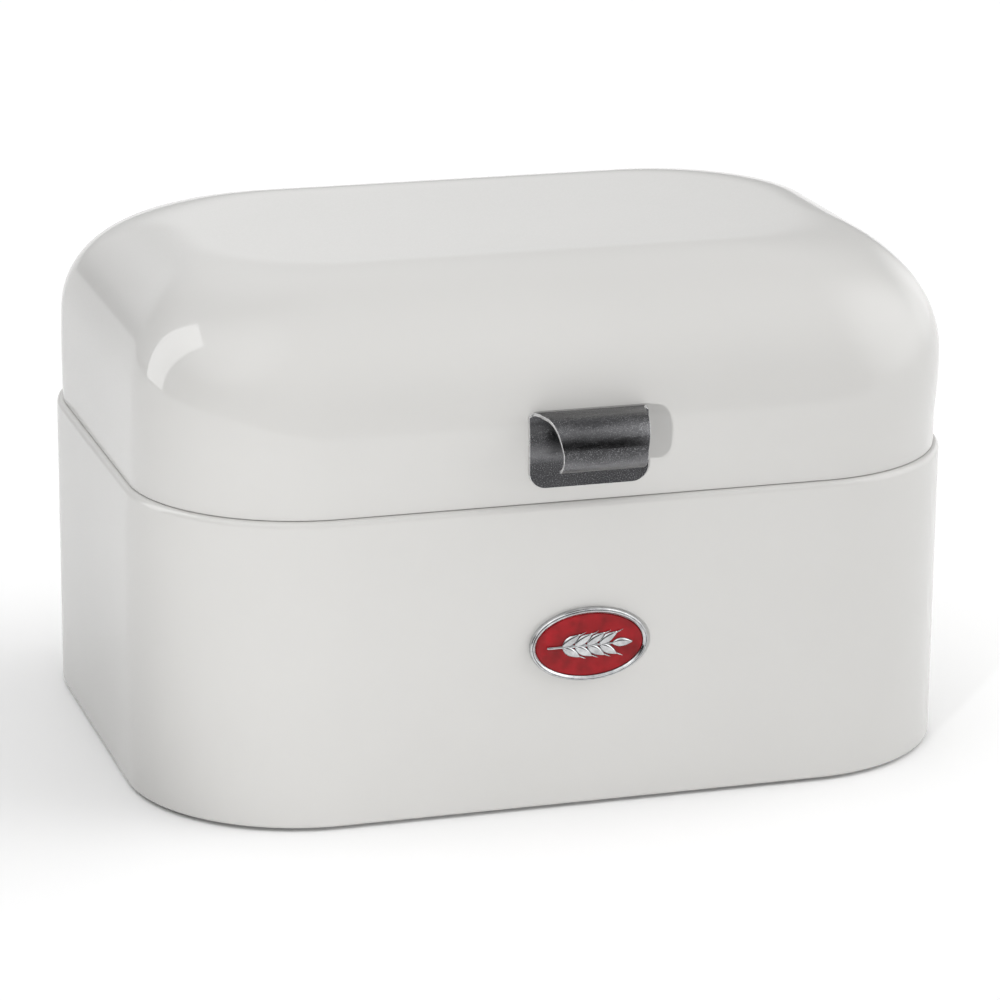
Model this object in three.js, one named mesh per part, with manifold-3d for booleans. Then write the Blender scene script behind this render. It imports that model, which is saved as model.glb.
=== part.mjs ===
// Steel bread box: a rounded box with a domed lid that lifts on a piano hinge behind it.
// Millimetres, +Z up, front towards -Y. The box stands on four rubber feet at z = 0, and
// x = 0, y = 0 is the middle of its overall footprint, from the handle to the hinge.

import * as THREE from 'three';
import { mergeVertices } from 'three/addons/utils/BufferGeometryUtils.js';
import Module from 'manifold-3d';

const wasm = await Module();
wasm.setup();

// ---------------------------------------------------------------- driving dimensions

const bodyWidth = 280;
const bodyDepth = 217;
const seamHeight = 104; // lower edge of the lid above the table
const lidHeight = 71; // from the lower edge of the lid to its flat top
const cornerRadius = 58; // of the body in plan
const sheet = 1; // every pressed steel sheet
const gap = 0.3; // between pieces that touch

const bodyLift = 1; // bottom of the body above the table
const bottomRadius = 1.5;
const flangeWidth = 8; // turned in under the bottom panel
const shoulderRadius = 4.5;
const seamGap = 0.5; // between the crown of the shoulder and the lid
const neckRise = 7; // of the collar inside the lid, above the seam
const neckRoot = 1; // fillet between the shoulder and the collar
const footRadius = 8;
const footInset = [40, 38]; // from the sides, and from the front and rear
const footChamfer = 0.6;

const lidInset = 2; // lid wall inside the body wall
const hemHeight = 8;
const frontRollRadius = 52;
const sideRollRadius = 38;
const rearRollRadius = 61;
const frontTopCorner = 42; // corner radii of the flat top in plan
const rearTopCorner = 46;
const frontWallRise = 11; // straight wall above the hem that each roll leaves
const sideWallRise = 12;
const rearWallRise = 2;

const hingeEndMargin = 7; // between the hinge and the rear corners
const knuckleCount = 7; // the odd ones in between are the lid's
const knuckleRadius = 2.75;
const pinRadius = 1.5;
const pinClearance = 0.25;
const leafThickness = 1;
const bodyLeafHeight = 16; // below the hinge axis
const openingAngle = 100;
const heelReach = 6; // from the hinge axis to the tip of the stop
const heelThickness = 1.6;
const heelWidth = 9;
const rivetRadius = 1.5;
const rivetHeadRadius = 2.6;
const rivetHeadHeight = 1.1;
const rivetCount = 4;
const rivetEndMargin = 12; // from the end of the hinge to the first rivet
const rivetEdgeMargin = 1.4; // from a rivet's head to the edge of its leaf
const pinHeadLength = 1.2;

const plateWidth = 40;
const plateHeight = 25.2;
const plateBase = 5.3; // lower edge of the handle's plate above the seam
const plateLowerCorner = 5.5;
const plateUpperCorner = 1.5;
const handleSheet = 1;
const gripReach = 18.5; // from the wall of the lid
const gripBend = 10; // outer radius of the bend at the front
const gripDrop = 1; // straight front below the bend
const gripCurl = 6; // outer radius of the curl at the lip
const gripFlare = 4; // depth of the flare beside the plate
const gripNeckHalfWidth = 17.4;
const gripFrontHalfWidth = 14;
const studRadius = 2;
const studSpacing = 24;
const nutAcrossFlats = 7;
const nutThickness = 3.2;
const washerRadius = 4.3;
const washerThickness = 0.8;
const washerHemMargin = 0.7; // between the hem of the lid and the washers

const badgeWidth = 40;
const badgeHeight = 24.6;
const badgeCentre = 56.3; // above the table
const badgeRim = 1.8;
const badgeBack = 1; // plate behind the enamel
const badgeDepth = 2.4;
const enamelThickness = 0.7;
const earMargin = 3.6; // between the rim and each end of the wheat ear
const earThickness = 0.8;
const earPairs = 4; // grains beside the stem, in pairs, behind the one at its tip
const earBareStem = 5; // below the last pair
const earLean = 0.55; // of a grain from the stem, in radians
const grainLength = 7.4;
const grainHalfWidth = 1.5;
const grainBelly = 0.4; // share of a grain's length at its widest
const stemHalfWidth = 0.5;
const badgePinRadius = 1;
const badgePinSpacing = 24;
const clipRadius = 3.5;
const clipThickness = 0.6;

const ventRadius = 2.5;
const ventsAround = 6; // around the middle hole of each cluster
const ventPitch = 9;
const ventEndMargin = 20; // from the end of the hinge to the middle of a cluster
const ventHeight = 62;

const holeClearance = 0.3; // around rivets, studs and pins
const cornerSteps = 8;
const arcSteps = 2;
const rollSteps = 12;
const foldSteps = 4;
const plateSteps = 8;
const roundSides = 16;

// ---------------------------------------------------------------- derived places

const halfWidth = bodyWidth / 2;
const halfDepth = bodyDepth / 2;
const shoulderTop = seamHeight - seamGap;
const neckInset = shoulderRadius + neckRoot;
const neckTop = seamHeight + neckRise;
const lidTop = seamHeight + lidHeight;
const rollRoom = lidHeight - hemHeight;
const frontRoll = Math.min(frontRollRadius, rollRoom - frontWallRise);
const sideRoll = Math.min(sideRollRadius, rollRoom - sideWallRise);
const rearRoll = Math.min(rearRollRadius, rollRoom - rearWallRise);
const largestRoll = Math.max(frontRoll, sideRoll, rearRoll);
const rollBase = lidTop - largestRoll;
const lidWall = halfDepth - lidInset; // y of the lid's outer wall, front and rear
const flatDepth = 2 * lidWall - frontRoll - rearRoll; // flat top from front to rear
const topCornerFit = Math.min(1, flatDepth / (frontTopCorner + rearTopCorner + 2 * sheet));

const bodyLeafFace = halfDepth + gap; // y of the face against the body
const lidLeafFace = lidWall + gap;
const hingeY = bodyLeafFace + knuckleRadius;
const hingeZ = seamHeight;
const hingeLength = bodyWidth - 2 * cornerRadius - 2 * hingeEndMargin;
const knuckleLength = (hingeLength - (knuckleCount - 1) * gap) / knuckleCount;
const knucklePitch = knuckleLength + gap;
const leafRelief = knuckleRadius + gap; // each leaf stops this far from the axis between its knuckles
const studZ = seamHeight + hemHeight + gap + washerHemMargin + washerRadius;

// ---------------------------------------------------------------- helpers

// A closed mesh as a solid that can be joined and cut.
function toSolid(geometry) {
  const bare = new THREE.BufferGeometry();
  bare.setAttribute('position', geometry.getAttribute('position'));
  if (geometry.index) bare.setIndex(geometry.index);
  const welded = mergeVertices(bare);
  const corners = Array.from(welded.index.array);
  const triangles = [];
  for (let i = 0; i < corners.length; i += 3) {
    const [a, b, c] = corners.slice(i, i + 3);
    if (a !== b && b !== c && c !== a) triangles.push(a, b, c);
  }
  return new wasm.Manifold(new wasm.Mesh({
    numProp: 3,
    vertProperties: new Float32Array(welded.getAttribute('position').array),
    triVerts: new Uint32Array(triangles),
  }));
}

function toGeometry(solid) {
  const mesh = solid.getMesh();
  const geometry = new THREE.BufferGeometry();
  geometry.setAttribute('position', new THREE.BufferAttribute(new Float32Array(mesh.vertProperties), 3));
  geometry.setIndex(new THREE.BufferAttribute(new Uint32Array(mesh.triVerts), 1));
  geometry.computeVertexNormals();
  return geometry;
}

function union(solids) {
  return solids.reduce((whole, solid) => whole.add(solid));
}

function cut(solid, cutters) {
  return cutters.reduce((rest, cutter) => rest.subtract(cutter), solid);
}

// Block between two corners.
function block([x0, y0, z0], [x1, y1, z1]) {
  const geometry = new THREE.BoxGeometry(x1 - x0, y1 - y0, z1 - z0);
  return toSolid(geometry.translate((x0 + x1) / 2, (y0 + y1) / 2, (z0 + z1) / 2));
}

// Round bar along Y between y0 and y1.
function barY(radius, x, z, y0, y1) {
  const geometry = new THREE.CylinderGeometry(radius, radius, y1 - y0, roundSides);
  return toSolid(geometry.translate(x, (y0 + y1) / 2, z));
}

// Round bar along X between x0 and x1, on the hinge axis.
function barX(radius, x0, x1) {
  const geometry = new THREE.CylinderGeometry(radius, radius, x1 - x0, roundSides);
  return toSolid(geometry.rotateZ(Math.PI / 2).translate((x0 + x1) / 2, hingeY, hingeZ));
}

// Outline in Y and Z, pushed along X between x0 and x1.
function extrudeX(shape, x0, x1) {
  const geometry = new THREE.ExtrudeGeometry(shape, {
    depth: x1 - x0, bevelEnabled: false, curveSegments: arcSteps * 2,
  });
  // The outline's first axis becomes Y, its second Z and its depth X.
  const basis = new THREE.Matrix4().makeBasis(
    new THREE.Vector3(0, 1, 0), new THREE.Vector3(0, 0, 1), new THREE.Vector3(1, 0, 0));
  return toSolid(geometry.applyMatrix4(basis).translate(x0, 0, 0));
}

// Outline in X and Z, pushed along Y between y0 and y1.
function extrudeY(shape, y0, y1) {
  const geometry = new THREE.ExtrudeGeometry(shape, {
    depth: y1 - y0, bevelEnabled: false, curveSegments: cornerSteps * 2,
  });
  return toSolid(geometry.rotateX(Math.PI / 2).translate(0, y1, 0));
}

// Outline in X and Y, pushed along Z between z0 and z1.
function extrudeZ(shape, z0, z1) {
  const geometry = new THREE.ExtrudeGeometry(shape, {
    depth: z1 - z0, bevelEnabled: false, curveSegments: cornerSteps,
  });
  return toSolid(geometry.translate(0, 0, z0));
}

// Rounded rectangle in plan, counterclockwise, with one radius for each end.
function planOutline(half, front, rear, frontRadius, rearRadius) {
  const corners = [
    [half - frontRadius, front + frontRadius, frontRadius, -0.5],
    [half - rearRadius, rear - rearRadius, rearRadius, 0],
    [rearRadius - half, rear - rearRadius, rearRadius, 0.5],
    [frontRadius - half, front + frontRadius, frontRadius, 1],
  ];
  return corners.flatMap(([x, y, radius, quarter]) => {
    const start = quarter * Math.PI;
    return new THREE.ArcCurve(x, y, radius, start, start + Math.PI / 2).getPoints(cornerSteps);
  });
}

// Skin through rings of equal length. A looped skin joins the last ring to the first, and any
// other has its two ends filled in flat, the first facing down and the last facing up.
function skin(rings, looped) {
  const count = rings[0].length;
  const points = rings.flat();
  const faces = [];
  const spans = looped ? rings.length : rings.length - 1;
  for (let ring = 0; ring < spans; ring += 1) {
    const low = ring * count;
    const high = ((ring + 1) % rings.length) * count;
    for (let i = 0; i < count; i += 1) {
      const j = (i + 1) % count;
      faces.push(low + i, low + j, high + j, low + i, high + j, high + i);
    }
  }
  if (!looped) {
    const last = (rings.length - 1) * count;
    for (let i = 1; i < count - 1; i += 1) {
      faces.push(0, i + 1, i);
      faces.push(last, last + i, last + i + 1);
    }
  }
  const geometry = new THREE.BufferGeometry();
  const flat = points.flatMap((point) => [point.x, point.y, point.z]);
  geometry.setAttribute('position', new THREE.Float32BufferAttribute(flat, 3));
  geometry.setIndex(faces);
  return toSolid(geometry);
}

function ringAt(outline, z) {
  return outline.map((point) => new THREE.Vector3(point.x, point.y, z));
}

// ---------------------------------------------------------------- the assembly

const breadBox = new THREE.Group();
const body = new THREE.Group();
const lid = new THREE.Group();
breadBox.add(body, lid);

const finishes = {
  coat: { color: 0xdad9d5, roughness: 0.38, metalness: 0 },
  gunmetal: { color: 0x4b4a4a, roughness: 0.35, metalness: 1 },
  zinc: { color: 0xb4b6b8, roughness: 0.4, metalness: 1 },
  chrome: { color: 0xd8dadc, roughness: 0.12, metalness: 1 },
  enamel: { color: 0x9c1218, roughness: 0.15, metalness: 0 },
  rubber: { color: 0x1b1b1c, roughness: 0.8, metalness: 0 },
};

function piece(parent, name, solid, finish) {
  const mesh = new THREE.Mesh(toGeometry(solid), new THREE.MeshStandardMaterial(finishes[finish]));
  mesh.name = name;
  parent.add(mesh);
  return mesh;
}

// Places of what repeats along the width.
const rivetSpacing = (hingeLength - 2 * rivetEndMargin) / (rivetCount - 1);
const rivetPlaces = Array.from({ length: rivetCount }, (_, i) => (i - (rivetCount - 1) / 2) * rivetSpacing);
const sides = { left: -1, right: 1 };
const bodyRivetZ = hingeZ - (leafRelief + bodyLeafHeight) / 2;
const lidRivetZ = seamHeight + hemHeight + gap + rivetHeadRadius;
const lidLeafTop = lidRivetZ + rivetHeadRadius + rivetEdgeMargin;

// ---------------------------------------------------------------- body shell

// Section of the body's wall: x is the distance outside the wall's face, so inside is negative.
function bodySection() {
  const up = Math.PI / 2;
  const lower = bodyLift + bottomRadius;
  const upper = shoulderTop - shoulderRadius;
  const path = new THREE.Path();
  path.moveTo(-flangeWidth, bodyLift);
  path.absarc(-bottomRadius, lower, bottomRadius, -up, 0, false);
  path.absarc(-shoulderRadius, upper, shoulderRadius, 0, up, false);
  path.absarc(-shoulderRadius, shoulderTop + neckRoot, neckRoot, -up, -2 * up, true);
  path.lineTo(-neckInset, neckTop);
  path.lineTo(-neckInset - sheet, neckTop);
  path.absarc(-shoulderRadius, shoulderTop + neckRoot, neckRoot + sheet, 2 * up, 3 * up, false);
  path.absarc(-shoulderRadius, upper, shoulderRadius - sheet, up, 0, true);
  path.absarc(-bottomRadius, lower, bottomRadius - sheet, 0, -up, true);
  path.lineTo(-flangeWidth, bodyLift + sheet);
  return path.getPoints(arcSteps);
}

function bodyOutline(offset) {
  const radius = cornerRadius + offset;
  return planOutline(halfWidth + offset, -halfDepth - offset, halfDepth + offset, radius, radius);
}

// Vent holes in the rear wall: one in the middle of each cluster and a ring around it.
function ventCutters() {
  const around = Array.from({ length: ventsAround }, (_, i) => (2 * Math.PI * i) / ventsAround);
  const cluster = [[0, 0], ...around.map((a) => [ventPitch * Math.cos(a), ventPitch * Math.sin(a)])];
  const middle = hingeLength / 2 - ventEndMargin;
  return Object.values(sides).flatMap((side) => cluster.map(([x, z]) => barY(
    ventRadius, side * middle + x, ventHeight + z, halfDepth - 2 * sheet, halfDepth + sheet)));
}

function makeBodyShell() {
  const rings = bodySection().map((point) => ringAt(bodyOutline(point.x), point.y));
  const rivetHoles = rivetPlaces.map((x) => barY(
    rivetRadius + holeClearance, x, bodyRivetZ, halfDepth - 2 * sheet, halfDepth + sheet));
  const pinHoles = Object.values(sides).map((side) => barY(
    badgePinRadius + holeClearance, (side * badgePinSpacing) / 2, badgeCentre,
    -halfDepth - sheet, -halfDepth + 2 * sheet));
  return cut(skin(rings, true), [...rivetHoles, ...pinHoles, ...ventCutters()]);
}

// ---------------------------------------------------------------- bottom panel and feet

const panelBase = bodyLift + sheet + gap;

function makeBottomPanel() {
  const outline = new THREE.Shape(bodyOutline(-bottomRadius - gap));
  return extrudeZ(outline, panelBase, panelBase + sheet);
}

function makeFoot(sideX, sideY) {
  const height = panelBase - gap;
  const x = sideX * (halfWidth - footInset[0]);
  const y = sideY * (halfDepth - footInset[1]);
  const outline = [
    [0, 0],
    [footRadius - footChamfer, 0],
    [footRadius, footChamfer],
    [footRadius, height],
    [0, height],
  ];
  const lathe = new THREE.LatheGeometry(outline.map(([r, z]) => new THREE.Vector2(r, z)), roundSides);
  return toSolid(lathe.rotateX(Math.PI / 2).translate(x, y, 0));
}

// ---------------------------------------------------------------- lid shell

// Inset of a surface that lies `depth` inside a roll of the given radius, at height z.
function rollInset(z, radius, depth) {
  const rise = Math.max(0, z - (lidTop - radius));
  const inner = radius - depth;
  return radius - Math.sqrt(Math.max(0, inner * inner - rise * rise));
}

// Contour of the lid at height z, `depth` inside its outer surface. The corners tighten
// towards the top.
function lidRing(z, depth) {
  const share = Math.max(0, z + depth - rollBase) / largestRoll;
  const wallCorner = cornerRadius - lidInset;
  const frontCorner = wallCorner + (frontTopCorner * topCornerFit - wallCorner) * share - depth;
  const rearCorner = wallCorner + (rearTopCorner * topCornerFit - wallCorner) * share - depth;
  const half = halfWidth - lidInset - rollInset(z, sideRoll, depth);
  const front = -lidWall + rollInset(z, frontRoll, depth);
  const rear = lidWall - rollInset(z, rearRoll, depth);
  return ringAt(planOutline(half, front, rear, frontCorner, rearCorner), z);
}

// Heights of the contours through the rolls, close together where the surface turns flat.
function rollHeights(depth) {
  return Array.from({ length: rollSteps + 1 }, (_, i) => (
    rollBase + (largestRoll - depth) * Math.sin((i / rollSteps) * (Math.PI / 2))));
}

function makeLidShell() {
  const hem = 2 * sheet;
  const inner = rollHeights(sheet).reverse().map((z) => lidRing(z, sheet));
  const hemTop = seamHeight + hemHeight;
  const fold = [lidRing(hemTop, sheet), lidRing(hemTop, hem)];
  for (let i = 0; i <= foldSteps; i += 1) {
    const angle = (i / foldSteps) * Math.PI;
    fold.push(lidRing(seamHeight + sheet - sheet * Math.sin(angle), sheet + sheet * Math.cos(angle)));
  }
  const outer = rollHeights(0).map((z) => lidRing(z, 0));
  const rivetHoles = rivetPlaces.map((x) => barY(
    rivetRadius + holeClearance, x, lidRivetZ, lidWall - 2 * sheet, lidWall + sheet));
  const studHoles = Object.values(sides).map((side) => barY(
    studRadius + holeClearance, (side * studSpacing) / 2, studZ,
    -lidWall - sheet, -lidWall + 2 * sheet));
  return cut(skin([...inner, ...fold, ...outer], false), [...rivetHoles, ...studHoles]);
}

// ---------------------------------------------------------------- hinge

function knuckleSpan(index) {
  const start = -hingeLength / 2 + index * knucklePitch;
  return [start, start + knuckleLength];
}

// Section of a knuckle with the tongue that ties it to its leaf. `up` is 1 for the lid's
// tongue, which rises from the axis, and -1 for the body's, which hangs from it.
function knuckleSolid(span, up) {
  const bore = barX(pinRadius + pinClearance, span[0] - gap, span[1] + gap);
  const tongueEnd = hingeZ + up * (leafRelief + gap);
  const tongue = block(
    [span[0], bodyLeafFace, Math.min(hingeZ, tongueEnd)],
    [span[1], bodyLeafFace + leafThickness, Math.max(hingeZ, tongueEnd)]);
  return cut(union([barX(knuckleRadius, ...span), tongue]), [bore]);
}

function knucklesOf(parity) {
  return Array.from({ length: knuckleCount }, (_, i) => i).filter((i) => i % 2 === parity).map(knuckleSpan);
}

function makeBodyLeaf() {
  const plate = block(
    [-hingeLength / 2, bodyLeafFace, hingeZ - bodyLeafHeight],
    [hingeLength / 2, bodyLeafFace + leafThickness, hingeZ - leafRelief]);
  const holes = rivetPlaces.map((x) => barY(
    rivetRadius + holeClearance, x, bodyRivetZ, bodyLeafFace - gap, bodyLeafFace + 2 * leafThickness));
  return cut(union([plate, ...knucklesOf(0).map((span) => knuckleSolid(span, -1))]), holes);
}

// The stop on the lid's leaf points backwards at rest. Its lower face is set so that its tip
// comes within the gap of the body's leaf when the lid is fully open. It starts beside the bore.
function heel(span) {
  const angle = THREE.MathUtils.degToRad(openingAngle);
  const leafOuter = bodyLeafFace + leafThickness - hingeY;
  const face = (leafOuter + gap - heelReach * Math.cos(angle)) / Math.sin(angle);
  const boreRoom = pinRadius + pinClearance + gap;
  const nearest = Math.max(0, face, -face - heelThickness); // height between the axis and the stop
  const start = Math.sqrt(Math.max(0, boreRoom * boreRoom - nearest * nearest));
  const middle = (span[0] + span[1]) / 2;
  return block(
    [middle - heelWidth / 2, hingeY + start, hingeZ + face],
    [middle + heelWidth / 2, hingeY + heelReach, hingeZ + face + heelThickness]);
}

// The lid's leaf steps forward from the line of the knuckles to the wall of the lid.
function makeLidLeaf() {
  const foot = hingeZ + leafRelief;
  const step = bodyLeafFace - lidLeafFace;
  const outline = new THREE.Shape();
  outline.moveTo(bodyLeafFace, foot);
  outline.lineTo(bodyLeafFace + leafThickness, foot);
  outline.lineTo(bodyLeafFace + leafThickness, foot + gap);
  outline.lineTo(lidLeafFace + leafThickness, foot + gap + step);
  outline.lineTo(lidLeafFace + leafThickness, lidLeafTop);
  outline.lineTo(lidLeafFace, lidLeafTop);
  outline.lineTo(lidLeafFace, foot + step);
  const plate = extrudeX(outline, -hingeLength / 2, hingeLength / 2);
  const spans = knucklesOf(1);
  const heels = [spans[0], spans[spans.length - 1]].map(heel);
  const holes = rivetPlaces.map((x) => barY(
    rivetRadius + holeClearance, x, lidRivetZ, lidLeafFace - gap, lidLeafFace + 2 * leafThickness));
  return cut(union([plate, ...spans.map((span) => knuckleSolid(span, 1)), ...heels]), holes);
}

function makeHingePin() {
  const end = hingeLength / 2 + gap;
  const heads = Object.values(sides).map((side) => (side > 0
    ? barX(knuckleRadius - gap, end, end + pinHeadLength)
    : barX(knuckleRadius - gap, -end - pinHeadLength, -end)));
  return union([barX(pinRadius, -end - pinHeadLength / 2, end + pinHeadLength / 2), ...heads]);
}

// Strip inside a wall that spreads the pull of the rivets. `wallFace` is the wall's outer face.
function makeBackingStrip(wallFace, z0, z1, rivetZ) {
  const y1 = wallFace - sheet - gap;
  const strip = block([-hingeLength / 2, y1 - sheet, z0], [hingeLength / 2, y1, z1]);
  return cut(strip, rivetPlaces.map((x) => barY(
    rivetRadius + holeClearance, x, rivetZ, y1 - 2 * sheet, y1 + sheet)));
}

// Rivet from a round head outside the leaf to a flat one inside the strip.
function makeRivet(x, z, leafFace, wallFace) {
  const outside = leafFace + leafThickness + gap;
  const inside = wallFace - 2 * sheet - 2 * gap;
  const dome = new THREE.EllipseCurve(0, outside, rivetHeadRadius, rivetHeadHeight, Math.PI / 2, 0, true);
  const outline = [
    ...dome.getPoints(arcSteps),
    new THREE.Vector2(rivetRadius, outside),
    new THREE.Vector2(rivetRadius, inside),
    new THREE.Vector2(rivetHeadRadius, inside),
    new THREE.Vector2(rivetHeadRadius, inside - rivetHeadHeight / 2),
    new THREE.Vector2(0, inside - rivetHeadHeight / 2),
  ];
  const lathe = new THREE.LatheGeometry(outline.reverse(), roundSides / 2);
  return toSolid(lathe.translate(x, 0, z));
}

// ---------------------------------------------------------------- handle

// Plate that follows the front of the lid, cut to a rectangle with rounder lower corners.
function handlePlate() {
  const z0 = seamHeight + plateBase;
  const z1 = z0 + plateHeight;
  const heights = Array.from({ length: plateSteps + 1 }, (_, i) => z0 + (i / plateSteps) * plateHeight);
  const back = heights.map((z) => new THREE.Vector2(-lidWall - gap + rollInset(z, frontRoll, 0), z));
  const front = back.map((point) => new THREE.Vector2(point.x - handleSheet, point.y)).reverse();
  const bent = extrudeX(new THREE.Shape([...back, ...front]), -plateWidth / 2, plateWidth / 2);
  const up = Math.PI / 2;
  const lowX = plateWidth / 2 - plateLowerCorner;
  const lowZ = z0 + plateLowerCorner;
  const highX = plateWidth / 2 - plateUpperCorner;
  const highZ = z1 - plateUpperCorner;
  const outline = new THREE.Shape();
  outline.absarc(lowX, lowZ, plateLowerCorner, -up, 0, false);
  outline.absarc(highX, highZ, plateUpperCorner, 0, up, false);
  outline.absarc(-highX, highZ, plateUpperCorner, up, 2 * up, false);
  outline.absarc(-lowX, lowZ, plateLowerCorner, 2 * up, 3 * up, false);
  return bent.intersect(extrudeY(outline, -halfDepth - gripReach, -lidWall + gripReach));
}

// Sheet that runs forward from the top of the plate, bends down at the front and curls in at
// the lip. It narrows towards the front, with a flare beside the plate.
function handleGrip() {
  const face = -lidWall - gripReach;
  const top = seamHeight + plateBase + plateHeight;
  const bendY = face + gripBend;
  const bendZ = top - gripBend;
  const curlY = face + gripCurl;
  const curlZ = bendZ - gripDrop;
  const root = -lidWall - gap - handleSheet / 2 + rollInset(top - handleSheet / 2, frontRoll, 0);
  const up = Math.PI / 2;
  const section = new THREE.Shape();
  section.moveTo(root, top - handleSheet);
  section.lineTo(root, top);
  section.absarc(bendY, bendZ, gripBend, up, 2 * up, false);
  section.absarc(curlY, curlZ, gripCurl, 2 * up, 3 * up, false);
  section.absarc(curlY, curlZ, gripCurl - handleSheet, 3 * up, 2 * up, true);
  section.absarc(bendY, bendZ, gripBend - handleSheet, 2 * up, up, true);
  const sheetSolid = extrudeX(section, -plateWidth / 2, plateWidth / 2);
  const plan = new THREE.Shape();
  const flareY = root - gripFlare;
  plan.moveTo(-plateWidth / 2 + plateUpperCorner, root + handleSheet);
  plan.lineTo(-plateWidth / 2 + plateUpperCorner, root);
  plan.quadraticCurveTo(-gripNeckHalfWidth, root, -gripNeckHalfWidth, flareY);
  plan.lineTo(-gripFrontHalfWidth, face - gap);
  plan.lineTo(gripFrontHalfWidth, face - gap);
  plan.lineTo(gripNeckHalfWidth, flareY);
  plan.quadraticCurveTo(gripNeckHalfWidth, root, plateWidth / 2 - plateUpperCorner, root);
  plan.lineTo(plateWidth / 2 - plateUpperCorner, root + handleSheet);
  return sheetSolid.intersect(extrudeZ(plan, seamHeight, lidTop));
}

const washerFace = -lidWall + sheet + gap; // y where the washers start, inside the lid
const nutFace = washerFace + washerThickness + gap;
const studEnd = nutFace + nutThickness + sheet;

function makeHandle() {
  const studs = Object.values(sides).map((side) => barY(
    studRadius, (side * studSpacing) / 2, studZ, -lidWall - gap - handleSheet / 2, studEnd));
  return union([handlePlate(), handleGrip(), ...studs]);
}

// Ring around a stud or pin.
function makeRing(outer, inner, x, z, y0, y1) {
  return cut(barY(outer, x, z, y0, y1), [barY(inner, x, z, y0 - gap, y1 + gap)]);
}

function makeNut(x) {
  const outerRadius = nutAcrossFlats / Math.sqrt(3);
  const hexagon = new THREE.CylinderGeometry(outerRadius, outerRadius, nutThickness, 6);
  const blank = toSolid(hexagon.translate(x, nutFace + nutThickness / 2, studZ));
  return cut(blank, [barY(studRadius + holeClearance, x, studZ, nutFace - gap, studEnd)]);
}

// ---------------------------------------------------------------- badge

function ovalShape(halfLong, halfShort) {
  const shape = new THREE.Shape();
  shape.absellipse(0, 0, halfLong, halfShort, 0, 2 * Math.PI, false, 0);
  return shape;
}

// Oval solid in front of the body's face: `near` and `far` are distances in front of it.
function ovalPlate(inset, near, far) {
  const solid = extrudeY(ovalShape(badgeWidth / 2 - inset, badgeHeight / 2 - inset),
    -halfDepth - far, -halfDepth - near);
  return solid.translate([0, 0, badgeCentre]);
}

const badgeFront = gap + badgeBack; // front of the plate behind the enamel
const enamelBase = badgeFront + gap;
const earBase = enamelBase + enamelThickness + gap;
const clipFace = -halfDepth + sheet + gap;

function makeBadgeFrame() {
  const pins = Object.values(sides).map((side) => barY(
    badgePinRadius, (side * badgePinSpacing) / 2, badgeCentre,
    -halfDepth - gap - badgeBack / 2, clipFace + clipThickness + sheet));
  const hollow = ovalPlate(badgeRim, badgeFront, gap + 2 * badgeDepth);
  return union([cut(ovalPlate(0, gap, gap + badgeDepth), [hollow]), ...pins]);
}

// Grain that points along X from the origin, lying behind the face at y = 0.
function grain() {
  const outline = new THREE.Shape();
  outline.moveTo(0, 0);
  outline.quadraticCurveTo(grainLength * grainBelly, 2 * grainHalfWidth, grainLength, 0);
  outline.quadraticCurveTo(grainLength * grainBelly, -2 * grainHalfWidth, 0, 0);
  const geometry = new THREE.ExtrudeGeometry(outline, {
    depth: earThickness, bevelEnabled: false, curveSegments: arcSteps,
  });
  return geometry.rotateX(Math.PI / 2);
}

// Ear of wheat lying along the oval: a stem with pairs of grains and one at the tip.
function makeWheatEar() {
  const earHalf = badgeWidth / 2 - badgeRim - earMargin;
  const tip = earHalf - grainLength;
  const pitch = (2 * earHalf - grainLength - earBareStem) / earPairs;
  const back = -halfDepth - earBase;
  const stem = block(
    [-earHalf, back - earThickness, badgeCentre - stemHalfWidth],
    [tip + grainHalfWidth, back, badgeCentre + stemHalfWidth]);
  const solids = [stem, toSolid(grain().translate(tip, back, badgeCentre))];
  for (let i = 1; i <= earPairs; i += 1) {
    for (const side of Object.values(sides)) {
      const leaning = grain().rotateY(side * earLean);
      solids.push(toSolid(leaning.translate(tip - i * pitch, back, badgeCentre)));
    }
  }
  return union(solids);
}

// ---------------------------------------------------------------- pieces on the body

piece(body, 'body_shell', makeBodyShell(), 'coat');
piece(body, 'bottom_panel', makeBottomPanel(), 'coat');
for (const [sideX, signX] of Object.entries(sides)) {
  piece(body, `foot_front_${sideX}`, makeFoot(signX, -1), 'rubber');
  piece(body, `foot_rear_${sideX}`, makeFoot(signX, 1), 'rubber');
}
piece(body, 'badge_frame', makeBadgeFrame(), 'chrome');
piece(body, 'badge_enamel', ovalPlate(badgeRim + gap, enamelBase, enamelBase + enamelThickness), 'enamel');
piece(body, 'badge_wheat_ear', makeWheatEar(), 'chrome');
for (const [side, sign] of Object.entries(sides)) {
  piece(body, `badge_clip_${side}`, makeRing(clipRadius, badgePinRadius + holeClearance,
    (sign * badgePinSpacing) / 2, badgeCentre, clipFace, clipFace + clipThickness), 'zinc');
}
piece(body, 'hinge_body_leaf', makeBodyLeaf(), 'zinc');
piece(body, 'hinge_pin', makeHingePin(), 'zinc');
piece(body, 'body_backing_strip', makeBackingStrip(
  halfDepth, hingeZ - bodyLeafHeight, hingeZ - leafRelief - shoulderRadius, bodyRivetZ), 'zinc');
rivetPlaces.forEach((x, i) => {
  piece(body, `body_rivet_${i + 1}`, makeRivet(x, bodyRivetZ, bodyLeafFace, halfDepth), 'zinc');
});

// ---------------------------------------------------------------- pieces on the lid

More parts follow.
